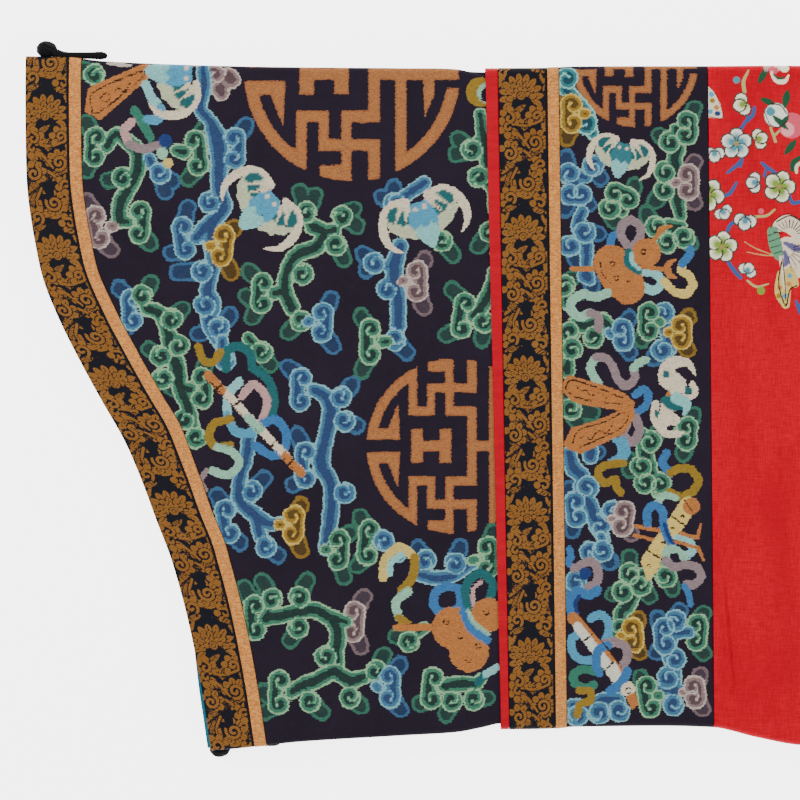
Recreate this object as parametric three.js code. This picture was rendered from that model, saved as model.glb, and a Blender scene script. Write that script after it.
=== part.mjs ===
// A folded kesi (silk tapestry) robe, millimetres, +Z up, resting on the plane z = 0.
// X runs along the top sleeve from its buttoned edge to its mouth, Y from the underarm fold to the shoulder fold.
// The sleeve lies flat on top with its wide cuff turned back over it. The rest of the robe is folded up beneath.
import * as THREE from "three";

// Driving sizes
const MOUTH_X = 252.2;          // the mouth fold, at the right hand end
const FOLDED_HEIGHT = 13;       // the folded robe under the sleeve
const FOLDED_INSET = 6;         // how far its folds stay inside the sleeve's outline
const FOLDED_INSET_EDGE = 9;    // the same under the buttoned edge
const FOLDED_INSET_MOUTH = 13;  // the same at the mouth
const SEAM = 0.3;               // gap between neighbouring pieces
const WALL = 1.1;               // kesi and silk
const LINING = 1.0;
const FOLD_RADIUS = 3;          // outer radius of the sleeve's long folds
const BROCADE_WIDTH = 23.3;     // along the buttoned edge
const RIBBON_WIDTH = 6.4;
const LINING_SHOWS = 1.8;       // most that the lining peeps out at the buttoned edge
const MOUTH_TURN_IN = 8;        // silk turned into the mouth
const KNOT = { length: 9.6, width: 7.4, height: 7 };
const STRIP = { length: 28, width: 2.8, height: 3 };

// Heights above the plane that the robe rests on, for the middle of the flattened sleeve.
const CUFF_OUT = SEAM + WALL;
const MIDDLE_BARE = FOLDED_HEIGHT + SEAM + FOLD_RADIUS;
const MIDDLE_CUFFED = MIDDLE_BARE + CUFF_OUT;
const RISE_FROM = -48;          // the bare sleeve rises onto the cuff's lower wall between these places
const RISE_TO = -6;

// The buttoned edge seen from above: a row for each station, going down it.
const BUTTONED_EDGE = [
  { y: 190, x: -252.4 },
  { y: 162, x: -252.6 },
  { y: 121.5, x: -252 },
  { y: 105.3, x: -250.6 },
  { y: 86.4, x: -247.6 },
  { y: 64.8, x: -242.8 },
  { y: 43.2, x: -234.1 },
  { y: 21.6, x: -223.3 },
  { y: 0, x: -211.5 },
  { y: -21.6, x: -199.2 },
  { y: -43.2, x: -189.8 },
  { y: -64.8, x: -181.8 },
  { y: -86.4, x: -173.6 },
  { y: -118.8, x: -164.7 },
  { y: -156.6, x: -157.2 },
  { y: -192, x: -151.8 },
];

// Long folds of the bare sleeve and of the cuff: a row for each cross section, with the outermost points.
const SLEEVE_FOLDS = [
  { x: -255, under: -190.3, shoulder: 186.5 },
  { x: -230, under: -190.3, shoulder: 185.8 },
  { x: -209, under: -190.3, shoulder: 183.6 },
  { x: -152, under: -190, shoulder: 181.3 },
  { x: -104, under: -185.3, shoulder: 180.4 },
  { x: -50, under: -182, shoulder: 179.9 },
  { x: -20, under: -180, shoulder: 179.2 },
  { x: -6, under: -177.4, shoulder: 176.2 },
  { x: 8, under: -174.4, shoulder: 174.4 },
  { x: 60, under: -174.6, shoulder: 176 },
  { x: 118, under: -174.9, shoulder: 178.4 },
  { x: 142, under: -180, shoulder: 178.9 },
  { x: 166, under: -184.6, shoulder: 179.2 },
  { x: 255, under: -190.2, shoulder: 180 },
];
const CUFF_FOLDS = [
  { x: -10, under: -177.2, shoulder: 178.3 },
  { x: 30, under: -176.6, shoulder: 178.5 },
  { x: 45, under: -175.5, shoulder: 179.2 },
  { x: 119, under: -175.8, shoulder: 179.4 },
  { x: 143, under: -181.2, shoulder: 179.6 },
  { x: 166, under: -185.4, shoulder: 179.6 },
  { x: 255, under: -190.3, shoulder: 180 },
];

// Seams of the turned back cuff: where each line crosses the shoulder fold and the underarm fold.
const CUFF_FREE_EDGE = { atShoulder: -4, atUnderarm: 4.6 };
const CUFF_SEAMS = {
  brocade: { atShoulder: 2.7, atUnderarm: 9 },
  ribbon: { atShoulder: 29.1, atUnderarm: 33.9 },
  kesi: { atShoulder: 35.5, atUnderarm: 40 },
  silk: { atShoulder: 115.8, atUnderarm: 119.2 },
};

// Soft creases on top: a row for each ridge, from one end to the other.
const CREASES = [
  { x0: 128, y0: -105, x1: 136, y1: -172, half: 9, height: 1.0 },
  { x0: 152, y0: -20, x1: 158, y1: -160, half: 12, height: 0.9 },
  { x0: 170, y0: 60, x1: 178, y1: -182, half: 10, height: 1.5 },
  { x0: 196, y0: 150, x1: 204, y1: -120, half: 13, height: 0.9 },
  { x0: 228, y0: 110, x1: 222, y1: -150, half: 11, height: 1.2 },
  { x0: -90, y0: 120, x1: -40, y1: -150, half: 22, height: 0.5 },
  { x0: -190, y0: 60, x1: -120, y1: -100, half: 24, height: 0.5 },
  { x0: 80, y0: 100, x1: 84, y1: -130, half: 20, height: 0.4 },
];
const FLAT_BY_FOLD = 14;        // creases die away this near a long fold
const SLEEVE_CREASED_TO = { from: -24, to: -4 };    // the sleeve is flat under the cuff
const CUFF_CREASED_TO = { from: 224, to: 240 };     // and the cuff is flat by the mouth

// Layers of the folded robe, from the plane it rests on upwards.
const LAYERS = [
  { height: 2.8, setback: 1.4, swing: 0.8, turns: 2 },
  { height: 2.3, setback: 0.2, swing: 0.7, turns: 3 },
  { height: 2.9, setback: 2.2, swing: 1.0, turns: 1 },
  { height: 2.3, setback: 0.6, swing: 0.6, turns: 4 },
  { height: 2.7, setback: 1.6, swing: 0.9, turns: 2 },
];
const LAYER_ROUND = [
  { rise: 0.1, out: -1.1 },
  { rise: 0.32, out: -0.15 },
  { rise: 0.68, out: -0.15 },
  { rise: 0.9, out: -1.1 },
];

// Places along the sleeve where every piece has a cross section, so that walls one over the other keep their gap.
const STATIONS = [-100, -60, -42, -30, -20, -6, 30, 75, 118, 140, 157, 174, 191, 208, 226, 238];
const STATION_CLEAR = 4;        // least distance of such a place from a seam

// Divisions of each cross section
const TOP_STEPS = 16;
const FOLD_STEPS = 4;
const BOTTOM_STEPS = 8;

const SLEEVE = { folds: SLEEVE_FOLDS, creased: SLEEVE_CREASED_TO };
const CUFF = { folds: CUFF_FOLDS, creased: CUFF_CREASED_TO };

const lerp = THREE.MathUtils.lerp;

// Value of one column of a table at a place of another, on a smooth curve through its rows.
function along(table, key, value, place) {
  const rows = [...table].sort((a, b) => a[key] - b[key]);
  let i = 0;
  while (i < rows.length - 2 && place > rows[i + 1][key]) i += 1;
  const slope = (k) => {
    const a = rows[Math.max(k - 1, 0)];
    const b = rows[Math.min(k + 1, rows.length - 1)];
    return (b[value] - a[value]) / (b[key] - a[key]);
  };
  const span = rows[i + 1][key] - rows[i][key];
  const t = THREE.MathUtils.clamp((place - rows[i][key]) / span, 0, 1);
  const t2 = t * t;
  const t3 = t2 * t;
  return (2 * t3 - 3 * t2 + 1) * rows[i][value] + (t3 - 2 * t2 + t) * span * slope(i)
    + (3 * t2 - 2 * t3) * rows[i + 1][value] + (t3 - t2) * span * slope(i + 1);
}

const edgeX = (y) => along(BUTTONED_EDGE, "y", "x", y);

// A line at a constant distance inside the buttoned edge, measured square to it.
function insideEdge(distance) {
  const step = 2;
  return (y) => {
    const slope = (edgeX(y + step) - edgeX(y - step)) / (2 * step);
    return edgeX(y) + distance * Math.hypot(1, slope);
  };
}

// The lining's own edge: it peeps out along the lower part of the buttoned edge.
function liningEdge(y) {
  const shows = THREE.MathUtils.smoothstep(-y, 110, 165);
  return edgeX(y) + lerp(1.2, -LINING_SHOWS, shows);
}

function acrossCuff(line, shift = 0) {
  const widest = 180;
  return (y) => lerp(line.atUnderarm, line.atShoulder, (y + widest) / (2 * widest)) + shift;
}

const atX = (x) => () => x;

// Height of the creases above the flat top wall: a rounded ridge along each row, dying away at both ends.
function creaseHeight(x, y) {
  let height = 0;
  for (const c of CREASES) {
    const dx = c.x1 - c.x0;
    const dy = c.y1 - c.y0;
    const reach = dx * dx + dy * dy;
    const t = ((x - c.x0) * dx + (y - c.y0) * dy) / reach;
    const side = ((x - c.x0) * dy - (y - c.y0) * dx) / Math.sqrt(reach);
    const end = Math.max(0, Math.abs(t - 0.5) - 0.5) * Math.sqrt(reach);
    height += c.height * Math.exp(-(side * side) / (c.half * c.half) - (end * end) / (c.half * c.half));
  }
  return height;
}

// One point of the flattened sleeve or cuff. A ring place says which wall or fold the point is on, lineX gives X from Y,
// and out is the distance outside the bare sleeve's outer face.
function sleevePoint(tube, place, lineX, out) {
  const radius = FOLD_RADIUS + out;
  let x = lineX(0);
  let y = 0;
  let z = 0;
  for (let pass = 0; pass < 3; pass += 1) {
    const under = along(tube.folds, "x", "under", x) + FOLD_RADIUS;
    const shoulder = along(tube.folds, "x", "shoulder", x) - FOLD_RADIUS;
    const rise = THREE.MathUtils.smoothstep(x, RISE_FROM, RISE_TO);
    const middle = lerp(MIDDLE_BARE, MIDDLE_CUFFED, rise);
    if (place.wall === "top") {
      y = lerp(under, shoulder, place.share);
      const calm = THREE.MathUtils.smoothstep(Math.min(y - under, shoulder - y), 0, FLAT_BY_FOLD);
      const creased = 1 - THREE.MathUtils.smoothstep(x, tube.creased.from, tube.creased.to);
      z = middle + radius + calm * creased * creaseHeight(x, y);
    } else if (place.wall === "bottom") {
      y = lerp(shoulder, under, place.share);
      z = middle - radius;
    } else {
      const side = place.wall === "shoulder" ? 1 : -1;
      y = (side > 0 ? shoulder : under) + radius * side * Math.sin(place.turn);
      z = middle + radius * Math.cos(place.turn);
    }
    x = lineX(y);
  }
  return new THREE.Vector3(x, y, z);
}

// Places once round the flattened sleeve: top wall, shoulder fold, bottom wall, underarm fold.
function ringPlaces() {
  const places = [];
  for (let i = 0; i < TOP_STEPS; i += 1) places.push({ wall: "top", share: i / TOP_STEPS });
  for (let i = 0; i < FOLD_STEPS; i += 1) places.push({ wall: "shoulder", turn: (Math.PI * i) / FOLD_STEPS });
  for (let i = 0; i < BOTTOM_STEPS; i += 1) places.push({ wall: "bottom", share: i / BOTTOM_STEPS });
  for (let i = 0; i < FOLD_STEPS; i += 1) {
    places.push({ wall: "underarm", turn: Math.PI - (Math.PI * i) / FOLD_STEPS });
  }
  return places;
}
const RING = ringPlaces();

// Closed body from a grid of points whose rows and columns both join up with themselves. The first half of the rows
// is the outer face and the rest the inner one, and the diagonals of both lie the same way.
function ringBody(rows) {
  const columns = rows[0].length;
  const position = [];
  const index = [];
  rows.forEach((row) => row.forEach((p) => position.push(p.x, p.y, p.z)));
  for (let i = 0; i < rows.length; i += 1) {
    const next = (i + 1) % rows.length;
    for (let j = 0; j < columns; j += 1) {
      const beside = (j + 1) % columns;
      const a = i * columns + j;
      const b = i * columns + beside;
      const c = next * columns + beside;
      const d = next * columns + j;
      if (next < rows.length / 2) index.push(a, c, b, a, d, c);
      else index.push(a, d, b, b, d, c);
    }
  }
  const geometry = new THREE.BufferGeometry();
  geometry.setAttribute("position", new THREE.Float32BufferAttribute(position, 3));
  geometry.setIndex(index);
  geometry.computeVertexNormals();
  return geometry;
}

// Lines across the sleeve from one seam to another, by way of the seams over it and the shared places between them.
function crossLines(from, to, over = []) {
  const widest = 190;
  const reach = [-widest, 0, widest];
  const last = over.length ? over[over.length - 1] : from;
  const low = Math.max(...reach.map(last)) + STATION_CLEAR;
  const high = Math.min(...reach.map(to)) - STATION_CLEAR;
  const places = STATIONS.filter((x) => x > low && x < high);
  const slanted = places.length > 3 ? [(y) => lerp(last(y), places[0], 0.5)] : [];
  return [from, ...over, ...slanted, ...places.map(atX), to];
}

// A length of the sleeve between two lines, as a wall from one distance out to another.
function sleeveLength(tube, from, to, inner, outer, over = []) {
  const outside = [];
  const inside = [];
  for (const line of crossLines(from, to, over)) {
    outside.push({ line, out: outer });
    inside.unshift({ line, out: inner });
  }
  return ringBody([...outside, ...inside].map((row) => RING.map((p) => sleevePoint(tube, p, row.line, row.out))));
}

// The cuff's silk: from its seam to the mouth, round the mouth fold and back inside the sleeve.
function cuffSilk() {
  const turnRadius = (CUFF_OUT + WALL + SEAM + WALL) / 2;
  const turnMiddle = CUFF_OUT - turnRadius;
  const turnX = MOUTH_X - turnRadius;
  const seam = acrossCuff(CUFF_SEAMS.silk, SEAM);
  const outside = [];
  const inside = [];
  const turnSteps = 4;
  for (const line of crossLines(seam, atX(turnX)).slice(0, -1)) {
    outside.push({ line, out: CUFF_OUT });
    inside.unshift({ line, out: SEAM });
  }
  for (let i = 0; i <= turnSteps; i += 1) {
    const turn = (Math.PI * i) / turnSteps;
    const inner = turnRadius - WALL;
    outside.push({ line: atX(turnX + turnRadius * Math.sin(turn)), out: turnMiddle + turnRadius * Math.cos(turn) });
    inside.unshift({ line: atX(turnX + inner * Math.sin(turn)), out: turnMiddle + inner * Math.cos(turn) });
  }
  const end = atX(MOUTH_X - MOUTH_TURN_IN);
  outside.push({ line: end, out: turnMiddle - turnRadius });
  inside.unshift({ line: end, out: turnMiddle - turnRadius + WALL });
  const rows = [...outside, ...inside];
  return ringBody(rows.map((row) => RING.map((p) => sleevePoint(CUFF, p, row.line, row.out))));
}

// Outline of the folded robe, inside the sleeve's own, with rounded corners.
function foldedOutline() {
  const corner = 12;
  const edge = insideEdge(FOLDED_INSET_EDGE);
  const top = (x) => along(SLEEVE_FOLDS, "x", "shoulder", x) - FOLDED_INSET;
  const bottom = (x) => along(SLEEVE_FOLDS, "x", "under", x) + FOLDED_INSET;
  const right = MOUTH_X - FOLDED_INSET_MOUTH;
  const leftTop = new THREE.Vector2(edge(175), top(edge(175)));
  const leftBottom = new THREE.Vector2(edge(-180), bottom(edge(-180)));
  const shape = new THREE.Shape();
  shape.moveTo(leftBottom.x + corner, leftBottom.y);
  const bottomRow = [-120, -60, 0, 60, 125, 170, right - corner];
  shape.splineThru(bottomRow.map((x) => new THREE.Vector2(x, bottom(x))));
  shape.quadraticCurveTo(right, bottom(right), right, bottom(right) + corner);
  shape.lineTo(right, top(right) - corner);
  shape.quadraticCurveTo(right, top(right), right - corner, top(right));
  const topRow = [170, 60, 0, -60, -140, leftTop.x + corner];
  shape.splineThru(topRow.map((x) => new THREE.Vector2(x, top(x))));
  shape.quadraticCurveTo(leftTop.x, leftTop.y, leftTop.x, leftTop.y - corner);
  const edgeRow = [140, 110, 80, 50, 20, -10, -40, -70, -100, -130, leftBottom.y + corner];
  shape.splineThru(edgeRow.map((y) => new THREE.Vector2(edge(y), y)));
  shape.quadraticCurveTo(leftBottom.x, leftBottom.y, leftBottom.x + corner, leftBottom.y);
  const loop = shape.getSpacedPoints(64);
  loop.pop();
  return loop;
}

// The folded robe: its outline carried up through a stack of rounded folds, flat beneath and on top.
function foldedBody() {
  const loop = foldedOutline();
  const count = loop.length;
  const outward = loop.map((p, i) => {
    const a = loop[(i + count - 1) % count];
    const b = loop[(i + 1) % count];
    return new THREE.Vector2(b.y - a.y, a.x - b.x).normalize();
  });
  const rows = [];
  let base = 0;
  LAYERS.forEach((layer, k) => {
    LAYER_ROUND.forEach((round, r) => {
      const first = k === 0 && r === 0;
      const last = k === LAYERS.length - 1 && r === LAYER_ROUND.length - 1;
      const rise = first ? 0 : last ? 1 : round.rise;
      const z = base + rise * layer.height;
      rows.push(loop.map((p, i) => {
        const swing = layer.swing * Math.sin((2 * Math.PI * layer.turns * i) / count + k);
        const out = round.out - layer.setback - swing;
        return new THREE.Vector3(p.x + outward[i].x * out, p.y + outward[i].y * out, z);
      }));
    });
    base += layer.height;
  });
  const position = [];
  const index = [];
  rows.forEach((row) => row.forEach((p) => position.push(p.x, p.y, p.z)));
  for (let i = 0; i + 1 < rows.length; i += 1) {
    for (let j = 0; j < count; j += 1) {
      const a = i * count + j;
      const b = i * count + ((j + 1) % count);
      index.push(a, b, b + count, a, b + count, a + count);
    }
  }
  const lid = (row, start, facesUp) => {
    const flat = row.map((p) => new THREE.Vector2(p.x, p.y));
    THREE.ShapeUtils.triangulateShape(flat, []).forEach(([a, b, c]) => {
      index.push(start + a, start + (facesUp ? b : c), start + (facesUp ? c : b));
    });
  };
  lid(rows[0], 0, false);
  lid(rows[rows.length - 1], (rows.length - 1) * count, true);
  const geometry = new THREE.BufferGeometry();
  geometry.setAttribute("position", new THREE.Float32BufferAttribute(position, 3));
  geometry.setIndex(index);
  geometry.computeVertexNormals();
  return geometry;
}

// A knotted ball button: an egg with four soft lobes where the cord passes over itself.
function knotGeometry() {
  const geometry = new THREE.SphereGeometry(0.5, 16, 10);
  const place = geometry.attributes.position;
  const p = new THREE.Vector3();
  for (let i = 0; i < place.count; i += 1) {
    p.fromBufferAttribute(place, i);
    const lobe = 1 + 0.07 * Math.cos(4 * Math.atan2(p.z, p.x)) * Math.cos(3 * p.y);
    place.setXYZ(i, p.x * KNOT.length * lobe, p.y * KNOT.width * lobe, p.z * KNOT.height * lobe);
  }
  geometry.computeVertexNormals();
  return geometry;
}

// The flat doubled cord that holds the knot, an outline with round ends, rounded over.
function stripGeometry() {
  const bevel = 0.8;
  const half = STRIP.width / 2 - bevel;
  const long = STRIP.length - STRIP.width;
  const shape = new THREE.Shape();
  shape.absarc(long / 2, 0, half, -Math.PI / 2, Math.PI / 2);
  shape.absarc(-long / 2, 0, half, Math.PI / 2, (3 * Math.PI) / 2);
  const geometry = new THREE.ExtrudeGeometry(shape, {
    depth: STRIP.height - 2 * bevel,
    bevelSize: bevel,
    bevelThickness: bevel,
    bevelSegments: 2,
    curveSegments: 6,
  });
  geometry.translate(0, 0, -STRIP.height / 2 + bevel);
  return geometry;
}

const NAVY = { color: 0x26212e, roughness: 0.85, metalness: 0 };
const BLACK_GOLD = { color: 0x8a6228, roughness: 0.7, metalness: 0 };
const TAN = { color: 0xc8915f, roughness: 0.8, metalness: 0 };
const RED = { color: 0xd6202a, roughness: 0.6, metalness: 0 };
const TEAL = { color: 0x00738c, roughness: 0.6, metalness: 0 };
const BLACK = { color: 0x141416, roughness: 0.8, metalness: 0 };

const robe = new THREE.Group();

function add(name, geometry, finish, x = 0, y = 0, z = 0, turn = 0) {
  const mesh = new THREE.Mesh(geometry, new THREE.MeshStandardMaterial(finish));
  mesh.name = name;
  mesh.position.set(x, y, z);
  mesh.rotation.z = turn;
  robe.add(mesh);
}

// The rest of the robe
add("folded_body", foldedBody(), NAVY);

// The sleeve, from its buttoned edge
const brocadeEnd = insideEdge(BROCADE_WIDTH);
const ribbonStart = insideEdge(BROCADE_WIDTH + SEAM);
const ribbonEnd = insideEdge(BROCADE_WIDTH + SEAM + RIBBON_WIDTH);
const kesiStart = insideEdge(BROCADE_WIDTH + 2 * SEAM + RIBBON_WIDTH);
const ribbonProud = 0.25;
const silkTurn = (CUFF_OUT + WALL + SEAM + WALL) / 2;
const kesiEnd = atX(MOUTH_X - silkTurn);
const liningEnd = atX(MOUTH_X - MOUTH_TURN_IN - SEAM);
const liningOut = -WALL - SEAM;
add("border_brocade", sleeveLength(SLEEVE, edgeX, brocadeEnd, -WALL, 0), BLACK_GOLD);
add("border_ribbon", sleeveLength(SLEEVE, ribbonStart, ribbonEnd, -WALL, ribbonProud), TAN);
add("sleeve_kesi", sleeveLength(SLEEVE, kesiStart, kesiEnd, -WALL, 0), NAVY);
const lining = sleeveLength(SLEEVE, liningEdge, liningEnd, liningOut - LINING, liningOut,
  [brocadeEnd, kesiStart]);
add("sleeve_lining", lining, TEAL);

// The cuff, from its free edge to the mouth
const cuffPieces = [
  { name: "cuff_edge", from: CUFF_FREE_EDGE, to: CUFF_SEAMS.brocade, proud: -0.1, finish: RED },
  { name: "cuff_brocade", from: CUFF_SEAMS.brocade, to: CUFF_SEAMS.ribbon, proud: 0, finish: BLACK_GOLD },
  { name: "cuff_ribbon", from: CUFF_SEAMS.ribbon, to: CUFF_SEAMS.kesi, proud: ribbonProud, finish: TAN },
  { name: "cuff_kesi", from: CUFF_SEAMS.kesi, to: CUFF_SEAMS.silk, proud: 0, finish: NAVY },
];
for (const piece of cuffPieces) {
  const from = acrossCuff(piece.from, piece.name === "cuff_edge" ? 0 : SEAM);
  const to = acrossCuff(piece.to);
  const outer = CUFF_OUT + piece.proud;
  add(piece.name, sleeveLength(CUFF, from, to, SEAM, outer), piece.finish);
}
add("cuff_silk", cuffSilk(), RED);

// Knot buttons, one by each long fold at the buttoned edge. The lower strip is sewn beneath the underarm fold.
const UPPER_BUTTON = {
  knot: { x: -241.9, y: 190.15, z: MIDDLE_BARE },
  strip: { x: -222.8, y: 188.3, z: MIDDLE_BARE, turn: -0.1 },
};
const LOWER_BUTTON = {
  knot: { x: -148.6, y: -190.2, z: 10.3 },
  strip: { x: -129.5, y: -187.2, z: 11.5, turn: 0.05 },
};
for (const [name, button] of [["button_upper", UPPER_BUTTON], ["button_lower", LOWER_BUTTON]]) {
  const { knot, strip } = button;
  add(`${name}_knot`, knotGeometry(), BLACK, knot.x, knot.y, knot.z);
  add(`${name}_strip`, stripGeometry(), BLACK, strip.x, strip.y, strip.z, strip.turn);
}

export default robe;
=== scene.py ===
"""A folded kesi robe: a sleeve lies flat on top with its wide cuff turned back, and the rest is folded
beneath.

Cloth is worked out in millimetres, +X from the buttoned edge to the mouth, +Y from the underarm fold to the
shoulder fold, +Z up from the floor, and is put into each mesh in metres.
"""

import bpy
import numpy as np
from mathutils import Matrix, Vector


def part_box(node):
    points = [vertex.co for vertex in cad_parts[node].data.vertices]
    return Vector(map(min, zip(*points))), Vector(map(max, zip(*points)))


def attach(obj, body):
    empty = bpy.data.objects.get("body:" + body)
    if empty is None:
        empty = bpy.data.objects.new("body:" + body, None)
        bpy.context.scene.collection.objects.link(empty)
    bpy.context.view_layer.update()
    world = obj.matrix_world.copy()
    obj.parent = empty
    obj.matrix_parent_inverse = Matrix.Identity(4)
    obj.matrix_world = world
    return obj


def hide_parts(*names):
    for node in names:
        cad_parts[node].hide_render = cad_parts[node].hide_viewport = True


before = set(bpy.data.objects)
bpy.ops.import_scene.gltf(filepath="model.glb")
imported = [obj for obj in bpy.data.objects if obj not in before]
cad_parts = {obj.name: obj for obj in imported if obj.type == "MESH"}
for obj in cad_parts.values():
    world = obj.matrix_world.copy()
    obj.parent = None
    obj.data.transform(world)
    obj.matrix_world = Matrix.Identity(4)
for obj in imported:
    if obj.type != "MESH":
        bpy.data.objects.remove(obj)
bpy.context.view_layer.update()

MM = 0.001

# Sizes of the robe, in millimetres
MOUTH_X = 252.2                  # of the fold at the sleeve's mouth
MOUTH_TURN_IN = 8                # the cuff's silk goes on this far into the mouth
WIDEST = 180                     # half the sleeve's width, where the cuff's seams are measured
SEAM = 0.3                       # between neighbouring pieces
WALL, LINING = 1.1, 1.0          # thickness of the kesi and of the lining
FOLD_RADIUS = 3                  # of the bare sleeve's long folds, outside
FLAT_BY_FOLD = 14                # creases die out over this width beside a long fold
BROCADE_WIDTH, RIBBON_WIDTH, RIBBON_PROUD = 23.3, 6.4, 0.25
LINING_SHOWS, LINING_HIDDEN = 1.8, 1.2
CUFF_OUT = SEAM + WALL           # the cuff's outer face, above the sleeve's
MOUTH_TURN = (CUFF_OUT + WALL + SEAM + WALL) / 2   # radius of the cuff's turn round the mouth
FOLDED_HEIGHT = 13               # of the layers beneath
FOLDED_INSET, FOLDED_INSET_EDGE, FOLDED_INSET_MOUTH, FOLDED_CORNER = 6, 9, 13, 12
MIDDLE_BARE = FOLDED_HEIGHT + SEAM + FOLD_RADIUS
MIDDLE_CUFFED = MIDDLE_BARE + CUFF_OUT
RISE = (-48, -6)                 # the bare sleeve rises onto the cuff's lower wall between these
OFF_PATTERN = 9999.0             # stands for the way along the cloth on faces that show no pattern

# The buttoned edge from above, and the long folds of the sleeve and the cuff
BUTTONED_EDGE = {
    "y": (-192, -156.6, -118.8, -86.4, -64.8, -43.2, -21.6, 0, 21.6, 43.2, 64.8, 86.4, 105.3, 121.5, 162,
          190),
    "x": (-151.8, -157.2, -164.7, -173.6, -181.8, -189.8, -199.2, -211.5, -223.3, -234.1, -242.8, -247.6,
          -250.6,
          -252, -252.6, -252.4),
}
SLEEVE = {
    "x": (-255, -230, -209, -152, -104, -50, -20, -6, 8, 60, 118, 142, 166, 255),
    "under": (-190.3, -190.3, -190.3, -190, -185.3, -182, -180, -177.4, -174.4, -174.6, -174.9, -180, -184.6,
              -190.2),
    "shoulder": (186.5, 185.8, 183.6, 181.3, 180.4, 179.9, 179.2, 176.2, 174.4, 176, 178.4, 178.9, 179.2,
                 180),
    "creased": (-24, -4),
}
CUFF = {
    "x": (-10, 30, 45, 119, 143, 166, 255),
    "under": (-177.2, -176.6, -175.5, -175.8, -181.2, -185.4, -190.3),
    "shoulder": (178.3, 178.5, 179.2, 179.4, 179.6, 179.6, 180),
    "creased": (224, 240),
}

# Seams of the turned back cuff: x at the shoulder fold and at the underarm fold
CUFF_FREE_EDGE = (-4, 4.6)
CUFF_BROCADE = (2.7, 9)
CUFF_RIBBON = (29.1, 33.9)
CUFF_KESI = (35.5, 40)
CUFF_SILK = (115.8, 119.2)

# Soft creases: ridges from one end to the other, with half width and height
CREASES = (
    {"ends": (123.5, -100, 128.5, -154), "half": 2.2, "height": 1.4},
    {"ends": (126.5, -104, 131.5, -154), "half": 2.0, "height": -0.8},
    {"ends": (133, 0, 126, -78), "half": 4.5, "height": 1.1},
    {"ends": (131, 52, 135, -16), "half": 5, "height": -0.8},
    {"ends": (146, 50, 154, -60), "half": 5.5, "height": 1.1},
    {"ends": (150, -70, 156, -168), "half": 7, "height": 1.1},
    {"ends": (170, 60, 178, -182), "half": 10, "height": 1.5},
    {"ends": (196, 150, 204, -120), "half": 13, "height": 0.9},
    {"ends": (228, 110, 222, -150), "half": 11, "height": 1.2},
    {"ends": (-90, 120, -40, -150), "half": 22, "height": 0.5},
    {"ends": (-190, 60, -120, -100), "half": 24, "height": 0.5},
    {"ends": (80, 100, 84, -130), "half": 20, "height": 0.4},
)

# Layers of the folded robe, from the floor upwards, and the rounding of each one's fold
LAYERS = (
    {"height": 2.8, "setback": 1.4, "swing": 0.8, "turns": 2},
    {"height": 2.3, "setback": 0.2, "swing": 0.7, "turns": 3},
    {"height": 2.9, "setback": 2.2, "swing": 1.0, "turns": 1},
    {"height": 2.3, "setback": 0.6, "swing": 0.6, "turns": 4},
    {"height": 2.7, "setback": 1.6, "swing": 0.9, "turns": 2},
)


def smooth(value, low, high):
    """0 below low and 1 above high, with t*t*(3 - 2*t) between them."""
    t = np.clip((value - low) / (high - low), 0, 1)
    return t * t * (3 - 2 * t)


def mix(a, b, t):
    """a + (b - a)*t"""
    return a + (b - a) * t


def through_rows(table, key, value, place):
    """A smooth curve through a table's rows: on each span, the cubic with the rows' values at its ends and,
    for slopes there, those of the straight line between the rows on either side."""
    keys, values = np.array(table[key], float), np.array(table[value], float)
    before = np.maximum(np.arange(len(keys)) - 1, 0)
    after = np.minimum(np.arange(len(keys)) + 1, len(keys) - 1)
    slope = (values[after] - values[before]) / (keys[after] - keys[before])
    i = np.clip(np.searchsorted(keys, place) - 1, 0, len(keys) - 2)
    span = keys[i + 1] - keys[i]
    t = np.clip((place - keys[i]) / span, 0, 1)
    return ((2 * t**3 - 3 * t**2 + 1) * values[i] + (t**3 - 2 * t**2 + t) * span * slope[i]
            + (3 * t**2 - 2 * t**3) * values[i + 1] + (t**3 - t**2) * span * slope[i + 1])


def edge_x(y):
    """x of the buttoned edge at y."""
    return through_rows(BUTTONED_EDGE, "y", "x", y)


def inside_edge(distance):
    """A line at a constant distance inside the buttoned edge: edge_x(y) + distance*sqrt(1 + slope*slope)."""
    def line(y):
        slope = (edge_x(y + 2) - edge_x(y - 2)) / 4
        return edge_x(y) + distance * np.hypot(1, slope)
    return line


def lining_edge(y):
    """The lining's own edge, which peeps out along the lower part of the buttoned edge."""
    return edge_x(y) + mix(LINING_HIDDEN, -LINING_SHOWS, smooth(-y, 110, 165))


def across_cuff(seam, shift=0.0):
    """A straight line across the cuff, from x at the underarm to x at the shoulder."""
    return lambda y: mix(seam[1], seam[0], (y + WIDEST) / (2 * WIDEST)) + shift


def at_x(x):
    """A line square across the sleeve."""
    return lambda y: x + 0 * y


def crease_height(x, y):
    """Sum over the creases of height*exp(-(side/half)^2 - (beyond its end/half)^2)."""
    height = 0 * x
    for crease in CREASES:
        x0, y0, x1, y1 = crease["ends"]
        long = np.hypot(x1 - x0, y1 - y0)
        t = ((x - x0) * (x1 - x0) + (y - y0) * (y1 - y0)) / long**2
        side = ((x - x0) * (y1 - y0) - (y - y0) * (x1 - x0)) / long
        end = np.maximum(0, np.abs(t - 0.5) - 0.5) * long
        height = height + crease["height"] * np.exp(-(side**2 + end**2) / crease["half"] ** 2)
    return height


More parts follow.
